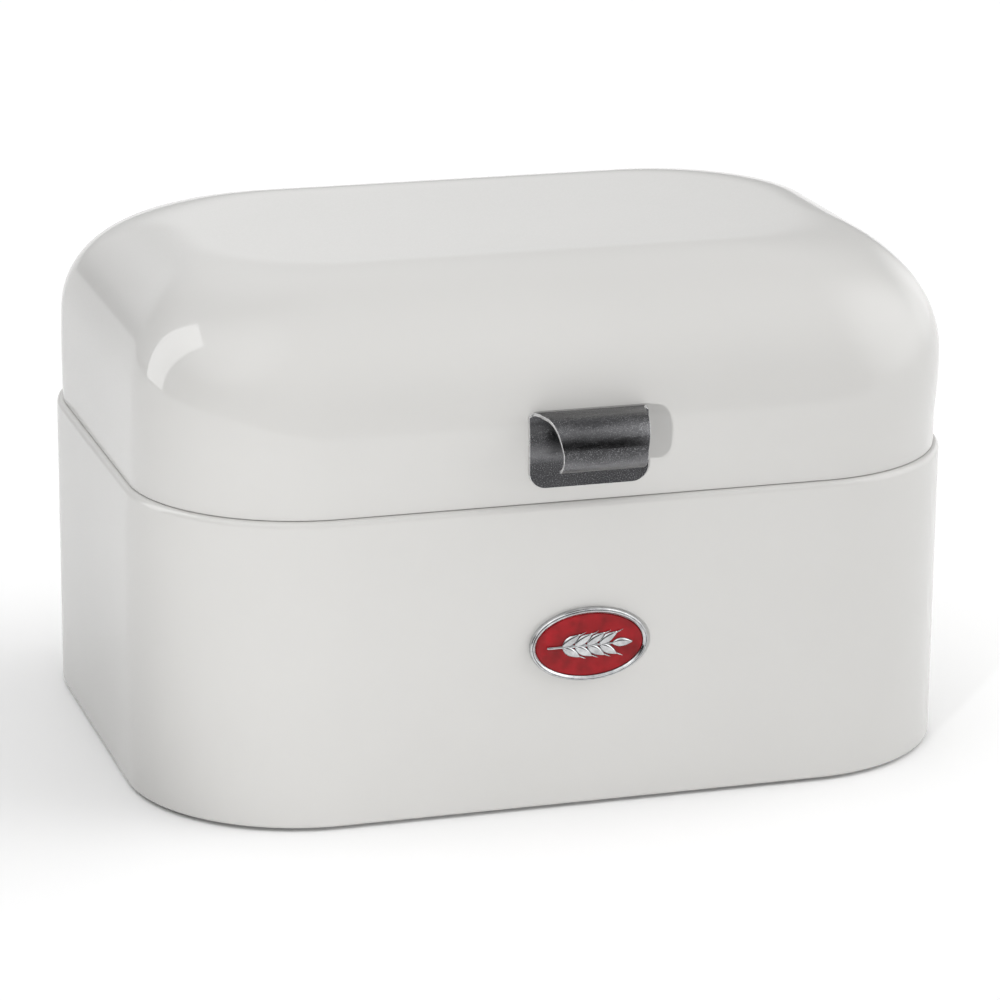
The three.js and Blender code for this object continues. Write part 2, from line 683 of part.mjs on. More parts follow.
piece(lid, 'lid_shell', makeLidShell(), 'coat');
piece(lid, 'handle', makeHandle(), 'gunmetal');
for (const [side, sign] of Object.entries(sides)) {
  const x = (sign * studSpacing) / 2;
  piece(lid, `handle_washer_${side}`, makeRing(washerRadius, studRadius + holeClearance,
    x, studZ, washerFace, washerFace + washerThickness), 'zinc');
  piece(lid, `handle_nut_${side}`, makeNut(x), 'zinc');
}
piece(lid, 'hinge_lid_leaf', makeLidLeaf(), 'zinc');
piece(lid, 'lid_backing_strip', makeBackingStrip(
  lidWall, seamHeight + hemHeight + gap, lidRivetZ + rivetHeadRadius, lidRivetZ), 'zinc');
rivetPlaces.forEach((x, i) => {
  piece(lid, `lid_rivet_${i + 1}`, makeRivet(x, lidRivetZ, lidLeafFace, lidWall), 'zinc');
});

// Put the middle of the footprint, from the grip to the stops of the hinge, over the origin.
const frontReach = lidWall + gripReach;
const rearReach = hingeY + heelReach;
breadBox.position.y = (frontReach - rearReach) / 2;

export default breadBox;
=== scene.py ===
"""Looks for the bread box: fine smooth shells, handle, badge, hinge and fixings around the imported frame.

Metres, +Z up, front towards -Y, standing on z = 0.
"""
import math

import bmesh
import bpy
from mathutils import Matrix, Vector


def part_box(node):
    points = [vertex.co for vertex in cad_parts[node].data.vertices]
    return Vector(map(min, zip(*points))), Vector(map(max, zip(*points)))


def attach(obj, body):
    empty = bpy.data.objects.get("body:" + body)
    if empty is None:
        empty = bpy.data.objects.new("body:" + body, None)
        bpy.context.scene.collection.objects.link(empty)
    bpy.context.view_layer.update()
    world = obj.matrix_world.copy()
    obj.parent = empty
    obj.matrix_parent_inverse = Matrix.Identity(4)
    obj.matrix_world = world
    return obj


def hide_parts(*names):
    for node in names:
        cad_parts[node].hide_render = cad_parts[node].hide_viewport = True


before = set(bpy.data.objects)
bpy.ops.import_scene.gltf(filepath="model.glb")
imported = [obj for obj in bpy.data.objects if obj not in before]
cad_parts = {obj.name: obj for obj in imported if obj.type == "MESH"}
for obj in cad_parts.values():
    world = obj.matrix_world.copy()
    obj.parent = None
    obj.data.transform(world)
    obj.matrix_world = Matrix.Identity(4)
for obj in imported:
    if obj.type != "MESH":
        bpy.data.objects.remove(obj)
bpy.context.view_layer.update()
MM = 0.001

# ------------------------------------------------------------------ sizes

BODY_LOW, BODY_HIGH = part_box("body_shell")
LID_LOW, LID_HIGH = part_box("lid_shell")
MIDDLE_Y = (BODY_LOW[1] + BODY_HIGH[1]) / 2
HALF_WIDTH = (BODY_HIGH[0] - BODY_LOW[0]) / 2
HALF_DEPTH = (BODY_HIGH[1] - BODY_LOW[1]) / 2
BODY_BASE = BODY_LOW[2]
NECK_TOP = BODY_HIGH[2]
SEAM = LID_LOW[2]
LID_TOP = LID_HIGH[2]
LID_INSET = HALF_WIDTH - (LID_HIGH[0] - LID_LOW[0]) / 2
LID_WALL = HALF_DEPTH - LID_INSET  # distance of the lid's outer wall from the middle, front and rear

SHEET = 1.0 * MM
GAP = 0.3 * MM
CORNER = 58 * MM
BOTTOM_RADIUS = 1.5 * MM
FLANGE = 8 * MM
SHOULDER = 4.5 * MM  # from the wall's face to the foot of the collar's fillet
SHOULDER_EDGE = 2.2 * MM
SHOULDER_TOP = SEAM - 0.15 * MM
NECK_ROOT = 1.0 * MM
HEM_HEIGHT = 8 * MM
HEM_CORNER = 0.25 * MM
FRONT_ROLL = 52 * MM
SIDE_ROLL = 38 * MM
REAR_ROLL = 61 * MM
FRONT_TOP_CORNER = 42 * MM
REAR_TOP_CORNER = 46 * MM

CORNER_STEPS = 32
ROLL_STEPS = 40
SMALL_STEPS = 6
ROUND_SIDES = 48
SHARP_ANGLE = math.radians(35)
SHEET_SHARP = math.radians(50)
EAR_SHARP = math.radians(60)
NUT_SHARP = math.radians(25)
RIM_ANGLE = math.radians(60)  # between the face of a sheet and its cut edge

# ------------------------------------------------------------------ mesh helpers


def finish_mesh(bm, name, sharp=SHARP_ANGLE):
    """Object from a bmesh, smooth except across edges sharper than the given angle."""
    bmesh.ops.recalc_face_normals(bm, faces=bm.faces)
    for face in bm.faces:
        face.smooth = True
    for edge in bm.edges:
        edge.smooth = len(edge.link_faces) != 2 or edge.calc_face_angle() < sharp
    mesh = bpy.data.meshes.new(name)
    bm.to_mesh(mesh)
    bm.free()
    piece = bpy.data.objects.new(name, mesh)
    bpy.context.scene.collection.objects.link(piece)
    return piece


def drill(piece, bars, name):
    """The piece with round holes cut by (centre, axis, radius, half length) bars, as a new object."""
    bm = bmesh.new()
    for centre, axis, radius, half in bars:
        lathe(bm, [(0, -half), (radius, -half), (radius, half), (0, half)], centre, axis)
    cutter = finish_mesh(bm, "cutter")
    boolean = piece.modifiers.new("holes", "BOOLEAN")
    boolean.operation = "DIFFERENCE"
    boolean.solver = "EXACT"
    boolean.object = cutter
    depsgraph = bpy.context.evaluated_depsgraph_get()
    bm = bmesh.new()
    bm.from_mesh(piece.evaluated_get(depsgraph).to_mesh())
    bpy.data.objects.remove(piece)
    bpy.data.objects.remove(cutter)
    return finish_mesh(bm, name)


def arc(cx, cy, radius, start, end, steps):
    """Points of an arc; angles in quarter turns."""
    points = []
    for i in range(steps + 1):
        angle = (start + (end - start) * i / steps) * math.pi / 2
        points.append((cx + radius * math.cos(angle), cy + radius * math.sin(angle)))
    return points


def plan_outline(half, front, rear, front_radius, rear_radius, steps=CORNER_STEPS):
    """Rounded rectangle in plan, counterclockwise."""
    return (
        arc(half - front_radius, front + front_radius, front_radius, -1, 0, steps)
        + arc(half - rear_radius, rear - rear_radius, rear_radius, 0, 1, steps)
        + arc(rear_radius - half, rear - rear_radius, rear_radius, 1, 2, steps)
        + arc(front_radius - half, front + front_radius, front_radius, 2, 3, steps)
    )


def skin(bm, rings, looped=False):
    """Faces through rings of equal length; the ends of an open skin are filled."""
    rows = [[bm.verts.new(point) for point in ring] for ring in rings]
    count = len(rows[0])
    pairs = list(zip(rows, rows[1:] + rows[:1])) if looped else list(zip(rows, rows[1:]))
    for low, high in pairs:
        for i in range(count):
            j = (i + 1) % count
            bm.faces.new((low[i], low[j], high[j], high[i]))
    if not looped:
        bm.faces.new(list(reversed(rows[0])))
        bm.faces.new(rows[-1])


def ring_at(outline, z):
    return [Vector((x, y + MIDDLE_Y, z)) for x, y in outline]


def lathe(bm, profile, centre, axis, sides=ROUND_SIDES):
    """Turns (radius, height) points about an axis through centre; ends on the axis are closed."""
    turn = Vector((0, 0, 1)).rotation_difference(Vector(axis)).to_matrix()
    rows = []
    for radius, height in profile:
        if radius < 1e-9:
            rows.append([bm.verts.new(Vector(centre) + turn @ Vector((0, 0, height)))])
            continue
        row = []
        for i in range(sides):
            angle = 2 * math.pi * i / sides
            local = Vector((radius * math.cos(angle), radius * math.sin(angle), height))
            row.append(bm.verts.new(Vector(centre) + turn @ local))
        rows.append(row)
    closed = profile[0][0] > 1e-9
    pairs = list(zip(rows, rows[1:])) + ([(rows[-1], rows[0])] if closed else [])
    for low, high in pairs:
        for i in range(sides):
            j = (i + 1) % sides
            corners = [low[i % len(low)], low[j % len(low)], high[j % len(high)], high[i % len(high)]]
            unique = []
            for corner in corners:
                if corner not in unique:
                    unique.append(corner)
            bm.faces.new(unique)


def place(piece, body, material, node):
    """Gives a piece its material and body, and lets it stand for a CAD node."""
    piece.data.materials.append(material)
    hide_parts(node)
    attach(piece, body)


# ------------------------------------------------------------------ materials


def new_material(name, color, metallic, roughness):
    material = bpy.data.materials.new(name)
    material.use_nodes = True
    shader = material.node_tree.nodes["Principled BSDF"]
    shader.inputs["Base Color"].default_value = (*color, 1)
    shader.inputs["Metallic"].default_value = metallic
    shader.inputs["Roughness"].default_value = roughness
    return material, material.node_tree, shader


def add_noise(tree, scale, detail=3, roughness=0.5, stretch=(1, 1, 1), seed=0.0):
    """Noise on object coordinates, in cells per metre."""
    coords = tree.nodes.new("ShaderNodeTexCoord")
    mapping = tree.nodes.new("ShaderNodeMapping")
    mapping.inputs["Scale"].default_value = stretch
    mapping.inputs["Location"].default_value = (seed, seed, seed)
    noise = tree.nodes.new("ShaderNodeTexNoise")
    noise.inputs["Scale"].default_value = scale
    noise.inputs["Detail"].default_value = detail
    noise.inputs["Roughness"].default_value = roughness
    tree.links.new(coords.outputs["Object"], mapping.inputs["Vector"])
    tree.links.new(mapping.outputs["Vector"], noise.inputs["Vector"])
    return noise.outputs["Fac"]


def add_ramp(tree, source, low, high, start=0.3, end=0.7):
    """Maps a value from start..end to low..high."""
    node = tree.nodes.new("ShaderNodeMapRange")
    node.inputs["From Min"].default_value = start
    node.inputs["From Max"].default_value = end
    node.inputs["To Min"].default_value = low
    node.inputs["To Max"].default_value = high
    tree.links.new(source, node.inputs["Value"])
    return node.outputs["Result"]


def add_mix(tree, factor, first, second):
    """Blend of two colours by a factor."""
    node = tree.nodes.new("ShaderNodeMix")
    node.data_type = "RGBA"
    node.inputs["A"].default_value = (*first, 1)
    node.inputs["B"].default_value = (*second, 1)
    tree.links.new(factor, node.inputs["Factor"])
    return node.outputs["Result"]


def add_bump(tree, height, distance, strength=1.0, under=None):
    node = tree.nodes.new("ShaderNodeBump")
    node.inputs["Distance"].default_value = distance
    node.inputs["Strength"].default_value = strength
    tree.links.new(height, node.inputs["Height"])
    if under:
        tree.links.new(under, node.inputs["Normal"])
    return node.outputs["Normal"]


def coat_material():
    """Off-white powder coat: a grainy base under a smooth clear layer, with a slow ripple."""
    material, tree, shader = new_material("white_powder_coat", (0.57, 0.564, 0.549), 0, 0.42)
    tint = add_noise(tree, 14, detail=4)
    color = add_mix(tree, add_ramp(tree, tint, 0, 1), (0.563, 0.557, 0.542), (0.577, 0.571, 0.556))
    tree.links.new(color, shader.inputs["Base Color"])
    grain = add_noise(tree, 1900, detail=2, roughness=0.6)
    ripple = add_noise(tree, 90, detail=2, seed=3.1)
    tree.links.new(add_ramp(tree, grain, 0.36, 0.52), shader.inputs["Roughness"])
    wave = add_bump(tree, ripple, 0.01 * MM, 0.3)
    tree.links.new(add_bump(tree, grain, 0.02 * MM, 0.8, under=wave), shader.inputs["Normal"])
    tree.links.new(wave, shader.inputs["Coat Normal"])
    shader.inputs["Specular IOR Level"].default_value = 0.3
    shader.inputs["Coat Weight"].default_value = 0.7
    shader.inputs["Coat Roughness"].default_value = 0.07
    return material


def gunmetal_material():
    """Dark grainy steel with fine bright specks, and painted reflections laid as lighter and darker level
    stripes up the handle.
    """
    material, tree, shader = new_material("gunmetal_steel", (0.07, 0.07, 0.073), 1, 0.3)
    low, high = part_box("handle")
    coords = tree.nodes.new("ShaderNodeTexCoord")
    split = tree.nodes.new("ShaderNodeSeparateXYZ")
    tree.links.new(coords.outputs["Object"], split.inputs["Vector"])
    painted_reflection_bands = tree.nodes.new("ShaderNodeValToRGB")
    painted_reflection_bands.color_ramp.interpolation = "B_SPLINE"
    # Share of the handle's height, and the painted reflection's lightness there: the plate, then the grip
    # from lip to top.
    reflection_band_stops = [
        (0, 0.2), (0.33, 0.12), (0.4, 0.9), (0.47, 0.85), (0.6, 0.2), (0.68, 0.3), (0.8, 0.62),
        (0.9, 0.4), (0.97, 0.12)]
    ramp = painted_reflection_bands.color_ramp.elements
    ramp[0].position, ramp[1].position = reflection_band_stops[0][0], reflection_band_stops[-1][0]
    for share, _ in reflection_band_stops[1:-1]:
        ramp.new(share)
    for band, (_, value) in zip(ramp, reflection_band_stops):
        band.color = (value, value, value, 1)
    tree.links.new(add_ramp(tree, split.outputs["Z"], 0, 1, low[2], high[2]), painted_reflection_bands.inputs["Fac"])
    speck = add_noise(tree, 2700, detail=3, roughness=0.75)
    cloud = add_noise(tree, 170, detail=5, roughness=0.65, stretch=(0.35, 1, 1), seed=1.7)
    grain = add_noise(tree, 2400, detail=3, roughness=0.7, seed=6.3)
    # The painted reflection stripes, made patchy by a random cloud.
    patchy_reflection_bands = tree.nodes.new("ShaderNodeMath")
    patchy_reflection_bands.operation = "MULTIPLY"
    tree.links.new(painted_reflection_bands.outputs["Color"], patchy_reflection_bands.inputs[0])
    tree.links.new(add_ramp(tree, cloud, 0.65, 1.35), patchy_reflection_bands.inputs[1])
    base = add_mix(tree, patchy_reflection_bands.outputs["Value"], (0.022, 0.022, 0.024), (0.2, 0.2, 0.207))
    color = tree.nodes.new("ShaderNodeMix")
    color.data_type = "RGBA"
    color.inputs["B"].default_value = (0.34, 0.34, 0.35, 1)
    tree.links.new(add_ramp(tree, speck, 0, 1, 0.53, 0.72), color.inputs["Factor"])
    tree.links.new(base, color.inputs["A"])
    tree.links.new(color.outputs["Result"], shader.inputs["Base Color"])
    tree.links.new(add_ramp(tree, cloud, 0.2, 0.38), shader.inputs["Roughness"])
    tree.links.new(add_bump(tree, grain, 0.03 * MM, 0.9), shader.inputs["Normal"])
    return material


def cut_edge_material():
    """Bare sheared edge of the handle's sheet."""
    material, tree, shader = new_material("cut_edge_steel", (0.8, 0.8, 0.81), 1, 0.3)
    streak = add_noise(tree, 900, detail=3, stretch=(1, 0.3, 0.3), seed=8.0)
    tree.links.new(add_ramp(tree, streak, 0.22, 0.42), shader.inputs["Roughness"])
    color = add_mix(tree, add_ramp(tree, streak, 0, 1), (0.72, 0.72, 0.73), (0.86, 0.86, 0.87))
    tree.links.new(color, shader.inputs["Base Color"])
    return material


def chrome_material():
    """Polished plating that has gone a little grey, with faint haze and fine scratches."""
    material, tree, shader = new_material("badge_chrome", (0.6, 0.61, 0.62), 1, 0.16)
    haze = add_noise(tree, 420, detail=4)
    scratch = add_noise(tree, 1600, detail=2, stretch=(0.15, 1, 1), seed=9.1)
    color = add_mix(tree, add_ramp(tree, haze, 0, 1), (0.45, 0.455, 0.465), (0.7, 0.71, 0.72))
    tree.links.new(color, shader.inputs["Base Color"])
    tree.links.new(add_ramp(tree, scratch, 0.1, 0.26), shader.inputs["Roughness"])
    tree.links.new(add_bump(tree, haze, 0.015 * MM, 0.5), shader.inputs["Normal"])
    return material


def enamel_material():
    """Glossy red enamel, a little deeper in colour in patches."""
    material, tree, shader = new_material("red_enamel", (0.22, 0.001, 0.004), 0, 0.16)
    pool = add_noise(tree, 160, detail=3)
    color = add_mix(tree, add_ramp(tree, pool, 0, 1), (0.15, 0.0006, 0.002), (0.33, 0.002, 0.007))
    tree.links.new(color, shader.inputs["Base Color"])
    wave = add_noise(tree, 300, detail=1, seed=2.2)
    tree.links.new(add_bump(tree, wave, 0.02 * MM, 0.4), shader.inputs["Normal"])
    shader.inputs["Specular IOR Level"].default_value = 0.2
    shader.inputs["Coat Weight"].default_value = 0.25
    shader.inputs["Coat Roughness"].default_value = 0.08
    return material


def zinc_material():
    """Zinc-plated steel with a fine roll grain along the hinge and faint cloudy patches."""
    material, tree, shader = new_material("zinc_steel", (0.55, 0.56, 0.57), 1, 0.38)
    cloud = add_noise(tree, 110, detail=5, roughness=0.6)
    grain = add_noise(tree, 1500, detail=2, stretch=(0.05, 1, 1), seed=4.4)
    color = add_mix(tree, add_ramp(tree, cloud, 0, 1), (0.46, 0.47, 0.485), (0.62, 0.62, 0.615))
    tree.links.new(color, shader.inputs["Base Color"])
    tree.links.new(add_ramp(tree, grain, 0.28, 0.5), shader.inputs["Roughness"])
    tree.links.new(add_bump(tree, grain, 0.012 * MM, 0.6), shader.inputs["Normal"])
    return material


def rubber_material():
    """Matt black rubber with a little dust."""
    material, tree, shader = new_material("foot_rubber", (0.018, 0.018, 0.019), 0, 0.75)
    grain = add_noise(tree, 2200, detail=3)
    dust = add_noise(tree, 240, detail=4, seed=5.0)
    color = add_mix(tree, add_ramp(tree, dust, 0, 1), (0.014, 0.014, 0.015), (0.035, 0.035, 0.036))
    tree.links.new(color, shader.inputs["Base Color"])
    tree.links.new(add_ramp(tree, grain, 0.65, 0.85), shader.inputs["Roughness"])
    tree.links.new(add_bump(tree, grain, 0.03 * MM, 0.7), shader.inputs["Normal"])
    return material


COAT = coat_material()
GUNMETAL = gunmetal_material()
CHROME = chrome_material()
CUT_EDGE = cut_edge_material()
ENAMEL = enamel_material()
ZINC = zinc_material()
RUBBER = rubber_material()

# ------------------------------------------------------------------ body shell


def body_section():
    """Section of the wall as (distance outside the wall's face, height), up outside and down inside."""
    lower = BODY_BASE + BOTTOM_RADIUS
    upper = SHOULDER_TOP - SHOULDER_EDGE
    neck = SHOULDER + NECK_ROOT
    root = SHOULDER_TOP + NECK_ROOT
    edge = SHEET / 2
    rim = arc(-neck - edge, NECK_TOP - edge, edge, 0, 2, SMALL_STEPS)
    return (
        arc(-FLANGE, BODY_BASE + edge, edge, 2, 3, 4)
        + arc(-BOTTOM_RADIUS, lower, BOTTOM_RADIUS, -1, 0, SMALL_STEPS)
        + arc(-SHOULDER_EDGE, upper, SHOULDER_EDGE, 0, 1, 2 * SMALL_STEPS)
        + arc(-SHOULDER, root, NECK_ROOT, 3, 2, SMALL_STEPS)
        + rim
        + arc(-SHOULDER, root, NECK_ROOT + SHEET, 2, 3, SMALL_STEPS)
        + arc(-SHOULDER_EDGE, upper, SHOULDER_EDGE - SHEET, 1, 0, 2 * SMALL_STEPS)
        + arc(-BOTTOM_RADIUS, lower, BOTTOM_RADIUS - SHEET, 0, -1, 3)
        + [(-FLANGE, BODY_BASE + SHEET)]
    )


def body_outline(offset):
    radius = CORNER + offset
    return plan_outline(HALF_WIDTH + offset, -HALF_DEPTH - offset, HALF_DEPTH + offset, radius, radius)


def middle(node):
    low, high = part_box(node)
    return Vector([(a + b) / 2 for a, b in zip(low, high)])


def rivet_nodes(start):
    return [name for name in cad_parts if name.startswith(start)]


REAR_FACE = MIDDLE_Y + HALF_DEPTH
HINGE_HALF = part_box("hinge_body_leaf")[1][0]
RIVET_HOLE = 1.8 * MM
PIN_HOLE = 1.3 * MM
STUD_HOLE = 2.3 * MM
VENT_RADIUS = 2.5 * MM
VENT_PITCH = 9 * MM
VENT_END_MARGIN = 20 * MM
VENT_HEIGHT = 62 * MM
BACKWARD = (0, 1, 0)


def vent_places():
    """Two clusters of seven holes in the rear wall."""
    places = []
    for side in (-1, 1):
        centre = side * (HINGE_HALF - VENT_END_MARGIN)
        places.append((centre, VENT_HEIGHT))
        places += circle(centre, VENT_HEIGHT, VENT_PITCH, 6)
    return places


def body_shell():
    bm = bmesh.new()
    skin(bm, [ring_at(body_outline(out), z) for out, z in body_section()], looped=True)
    reach = 4 * SHEET
    bars = [((x, REAR_FACE, z), BACKWARD, VENT_RADIUS, reach) for x, z in vent_places()]
    for node in rivet_nodes("body_rivet"):
        spot = middle(node)
        bars.append(((spot.x, REAR_FACE, spot.z), BACKWARD, RIVET_HOLE, reach))
    for node in ("badge_clip_left", "badge_clip_right"):
        spot = middle(node)
        bars.append(((spot.x, MIDDLE_Y - HALF_DEPTH, spot.z), BACKWARD, PIN_HOLE, reach))
    shell = drill(finish_mesh(bm, "blank"), bars, "body_shell_fine")
    place(shell, "base", COAT, "body_shell")


# ------------------------------------------------------------------ lid shell


def roll_inset(z, radius, depth):
    """Inset of the surface `depth` inside a roll, at height z."""
    rise = max(0.0, z - (LID_TOP - radius))
    inner = radius - depth
    return radius - math.sqrt(max(0.0, inner * inner - rise * rise))


def lid_ring(z, depth):
    """Contour of the lid, its corners tightening towards the top."""
    share = max(0.0, z + depth - (LID_TOP - REAR_ROLL)) / REAR_ROLL
    wall_corner = CORNER - LID_INSET
    front_corner = wall_corner + (FRONT_TOP_CORNER - wall_corner) * share - depth
    rear_corner = wall_corner + (REAR_TOP_CORNER - wall_corner) * share - depth
    half = HALF_WIDTH - LID_INSET - roll_inset(z, SIDE_ROLL, depth)
    front = -LID_WALL + roll_inset(z, FRONT_ROLL, depth)
    rear = LID_WALL - roll_inset(z, REAR_ROLL, depth)
    return ring_at(plan_outline(half, front, rear, front_corner, rear_corner), z)


def roll_heights(depth):
    base = LID_TOP - REAR_ROLL
    return [
        base + (REAR_ROLL - depth) * math.sin(i / ROLL_STEPS * math.pi / 2) for i in range(ROLL_STEPS + 1)
    ]


def lid_shell():
    inner = [lid_ring(z, SHEET) for z in reversed(roll_heights(SHEET))]
    hem_top = SEAM + HEM_HEIGHT
    # Hem: a band of twice the sheet that stands for the wall folded up inside itself.
    fold = [(SHEET, hem_top), (1.6 * SHEET, hem_top), (2 * SHEET, hem_top - 0.4 * SHEET)]
    fold += arc(2 * SHEET - HEM_CORNER, SEAM + HEM_CORNER, HEM_CORNER, 0, -1, SMALL_STEPS)
    fold += arc(HEM_CORNER, SEAM + HEM_CORNER, HEM_CORNER, 3, 2, SMALL_STEPS)
    fold = [lid_ring(z, depth) for depth, z in fold]
    outer = [lid_ring(z, 0) for z in roll_heights(0)]
    bm = bmesh.new()
    skin(bm, inner + fold + outer)
    reach = 4 * SHEET
    bars = []
    for node in rivet_nodes("lid_rivet"):
        spot = middle(node)
        bars.append(((spot.x, MIDDLE_Y + LID_WALL, spot.z), BACKWARD, RIVET_HOLE, reach))
    for node in ("handle_nut_left", "handle_nut_right"):
        spot = middle(node)
        bars.append(((spot.x, MIDDLE_Y - LID_WALL, spot.z), BACKWARD, STUD_HOLE, reach))
    shell = drill(finish_mesh(bm, "blank"), bars, "lid_shell_fine")
    place(shell, "lid", COAT, "lid_shell")


# ------------------------------------------------------------------ bent sheet parts


def follow(start, heading, segments):
    """Route of a sheet's middle surface in the Y-Z plane.

    Each segment is (length, radius, steps): radius 0 is straight and a positive one turns left.
    Gives the map from (x, along, off) to space, the places along it where it bends, and its length.
    """
    spots, stations = [], []
    point, angle, along = Vector(start), heading, 0.0
    for length, radius, steps in segments:
        spots.append((along, point.copy(), angle, radius))
        stations += [along + length * i / steps for i in range(steps + 1)]
        if radius:
            centre = point + radius * Vector((-math.sin(angle), math.cos(angle)))
            angle += length / radius
            point = centre - radius * Vector((-math.sin(angle), math.cos(angle)))
        else:
            point = point + length * Vector((math.cos(angle), math.sin(angle)))
        along += length

    def bend(x, s, off):
        begin, origin, turn, radius = [spot for spot in spots if spot[0] <= s + 1e-9][-1]
        if radius:
            centre = origin + radius * Vector((-math.sin(turn), math.cos(turn)))
            turn += (s - begin) / radius
            place_now = centre - radius * Vector((-math.sin(turn), math.cos(turn)))
        else:
            place_now = origin + (s - begin) * Vector((math.cos(turn), math.sin(turn)))
        place_now = place_now + off * Vector((-math.sin(turn), math.cos(turn)))
        return Vector((x, place_now.x, place_now.y))

    return bend, stations, along


def flat_blank(loops, thickness, rim_slot):
    """Sheet cut to an outline with holes: x across, y along, z through the thickness."""
    curve = bpy.data.curves.new("blank", "CURVE")
    curve.dimensions = "2D"
    curve.fill_mode = "BOTH"
    curve.extrude = thickness / 2
    for loop in loops:
        spline = curve.splines.new("POLY")
        spline.points.add(len(loop) - 1)
        for point, (x, y) in zip(spline.points, loop):
            point.co = (x, y, 0, 1)
        spline.use_cyclic_u = True
    holder = bpy.data.objects.new("blank", curve)
    bpy.context.scene.collection.objects.link(holder)
    bm = bmesh.new()
    bm.from_mesh(holder.to_mesh())
    holder.to_mesh_clear()
    bpy.data.objects.remove(holder)
    bpy.data.curves.remove(curve)
    bmesh.ops.remove_doubles(bm, verts=bm.verts, dist=1e-7)
    bm.normal_update()
    for face in bm.faces:
        face.material_index = rim_slot if abs(face.normal.z) < 0.5 else 0
    return bm


MERGE = 0.004 * MM  # points closer than this are joined; rounding leaves some at the corners


def sheet_part(name, loops, thickness, route, edge, rim_slot=0):
    """Flat blank bent along a route, its cut edges rounded off."""
    bend, stations, _ = route
    bm = flat_blank(loops, thickness, rim_slot)
    for station in stations:
        everything = bm.verts[:] + bm.edges[:] + bm.faces[:]
        bmesh.ops.bisect_plane(
            bm, geom=everything, plane_co=(0, station, 0), plane_no=(0, 1, 0), dist=1e-7)
    for vert in bm.verts:
        vert.co = bend(*vert.co)
    bmesh.ops.dissolve_limit(
        bm, angle_limit=math.radians(0.4), verts=bm.verts, edges=bm.edges, delimit={"MATERIAL"})
    bmesh.ops.recalc_face_normals(bm, faces=bm.faces)
    rims = [e for e in bm.edges if len(e.link_faces) == 2 and e.calc_face_angle() > RIM_ANGLE]
    bmesh.ops.bevel(
        bm, geom=rims, offset=edge, segments=2, profile=0.5, affect="EDGES", clamp_overlap=True,
        material=rim_slot or -1)
    bmesh.ops.remove_doubles(bm, verts=bm.verts, dist=MERGE)
    bmesh.ops.dissolve_degenerate(bm, dist=MERGE, edges=bm.edges)
    return finish_mesh(bm, name, SHEET_SHARP)


def circle(x, y, radius, sides=24):
    return [
        (x + radius * math.cos(2 * math.pi * i / sides), y + radius * math.sin(2 * math.pi * i / sides))
        for i in range(sides)
    ]


def rounded_plate(half, low, high, low_radius, high_radius, steps=6):
    """Outline of a plate about x = 0 with its own radius at each end."""
    return (
        arc(half - low_radius, low + low_radius, low_radius, -1, 0, steps)
        + arc(half - high_radius, high - high_radius, high_radius, 0, 1, steps)
        + arc(high_radius - half, high - high_radius, high_radius, 1, 2, steps)
        + arc(low_radius - half, low + low_radius, low_radius, 2, 3, steps)
    )


# ------------------------------------------------------------------ handle

HANDLE_LOW, HANDLE_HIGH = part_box("handle")
WALL_FACE = MIDDLE_Y - LID_WALL
NUT_LOW, NUT_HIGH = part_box("handle_nut_right")
STUD_X = (NUT_LOW[0] + NUT_HIGH[0]) / 2
STUD_Z = (NUT_LOW[2] + NUT_HIGH[2]) / 2
STUD_RADIUS = 2 * MM
HANDLE_SHEET = 1 * MM
HANDLE_EDGE = 0.2 * MM
PLATE_HALF = HANDLE_HIGH[0]
PLATE_LOW = HANDLE_LOW[2]
GRIP_TOP = HANDLE_HIGH[2]
GRIP_REACH = WALL_FACE - HANDLE_LOW[1]
GRIP_BEND = 10 * MM
GRIP_DROP = 1 * MM
GRIP_CURL = 6 * MM
NECK_BEND = 1.6 * MM
NECK_HALF = 17.4 * MM
LIP_HALF = 14 * MM
FLARE = 5 * MM
FLARE_STEPS = 12
PLATE_CORNER = 5.5 * MM
LIP_CORNER = 1.2 * MM
PLATE_STEPS = 6  # bends in the part of the plate that follows the lid's roll
THREAD_PITCH = 0.7 * MM
THREAD_DEPTH = 0.25 * MM


def handle_route():
    """From the lower edge of the plate up the lid, forward, down and round to the lip."""
    half = HANDLE_SHEET / 2
    face = WALL_FACE - GAP - half
    roll = FRONT_ROLL + GAP + half
    roll_base = LID_TOP - FRONT_ROLL
    # The wall leans back as it rises, so the neck turns by a right angle and that lean.
    lean = math.asin((GRIP_TOP - half - roll_base - NECK_BEND) / roll)
    lean = math.asin((GRIP_TOP - half - roll_base - NECK_BEND * (1 + math.sin(lean))) / roll)
    neck_end = face + roll * (1 - math.cos(lean)) - NECK_BEND * math.cos(lean)
    bend_start = WALL_FACE - GRIP_REACH + GRIP_BEND
    return follow((face, PLATE_LOW), math.pi / 2, [
        (roll_base - PLATE_LOW, 0, 1),
        (roll * lean, -roll, PLATE_STEPS),
        (NECK_BEND * (math.pi / 2 + lean), NECK_BEND, 10),
        (neck_end - bend_start, 0, 1),
        ((GRIP_BEND - half) * math.pi / 2, GRIP_BEND - half, 20),
        (GRIP_DROP, 0, 1),
        ((GRIP_CURL - half) * math.pi / 2, GRIP_CURL - half, 12),
    ])


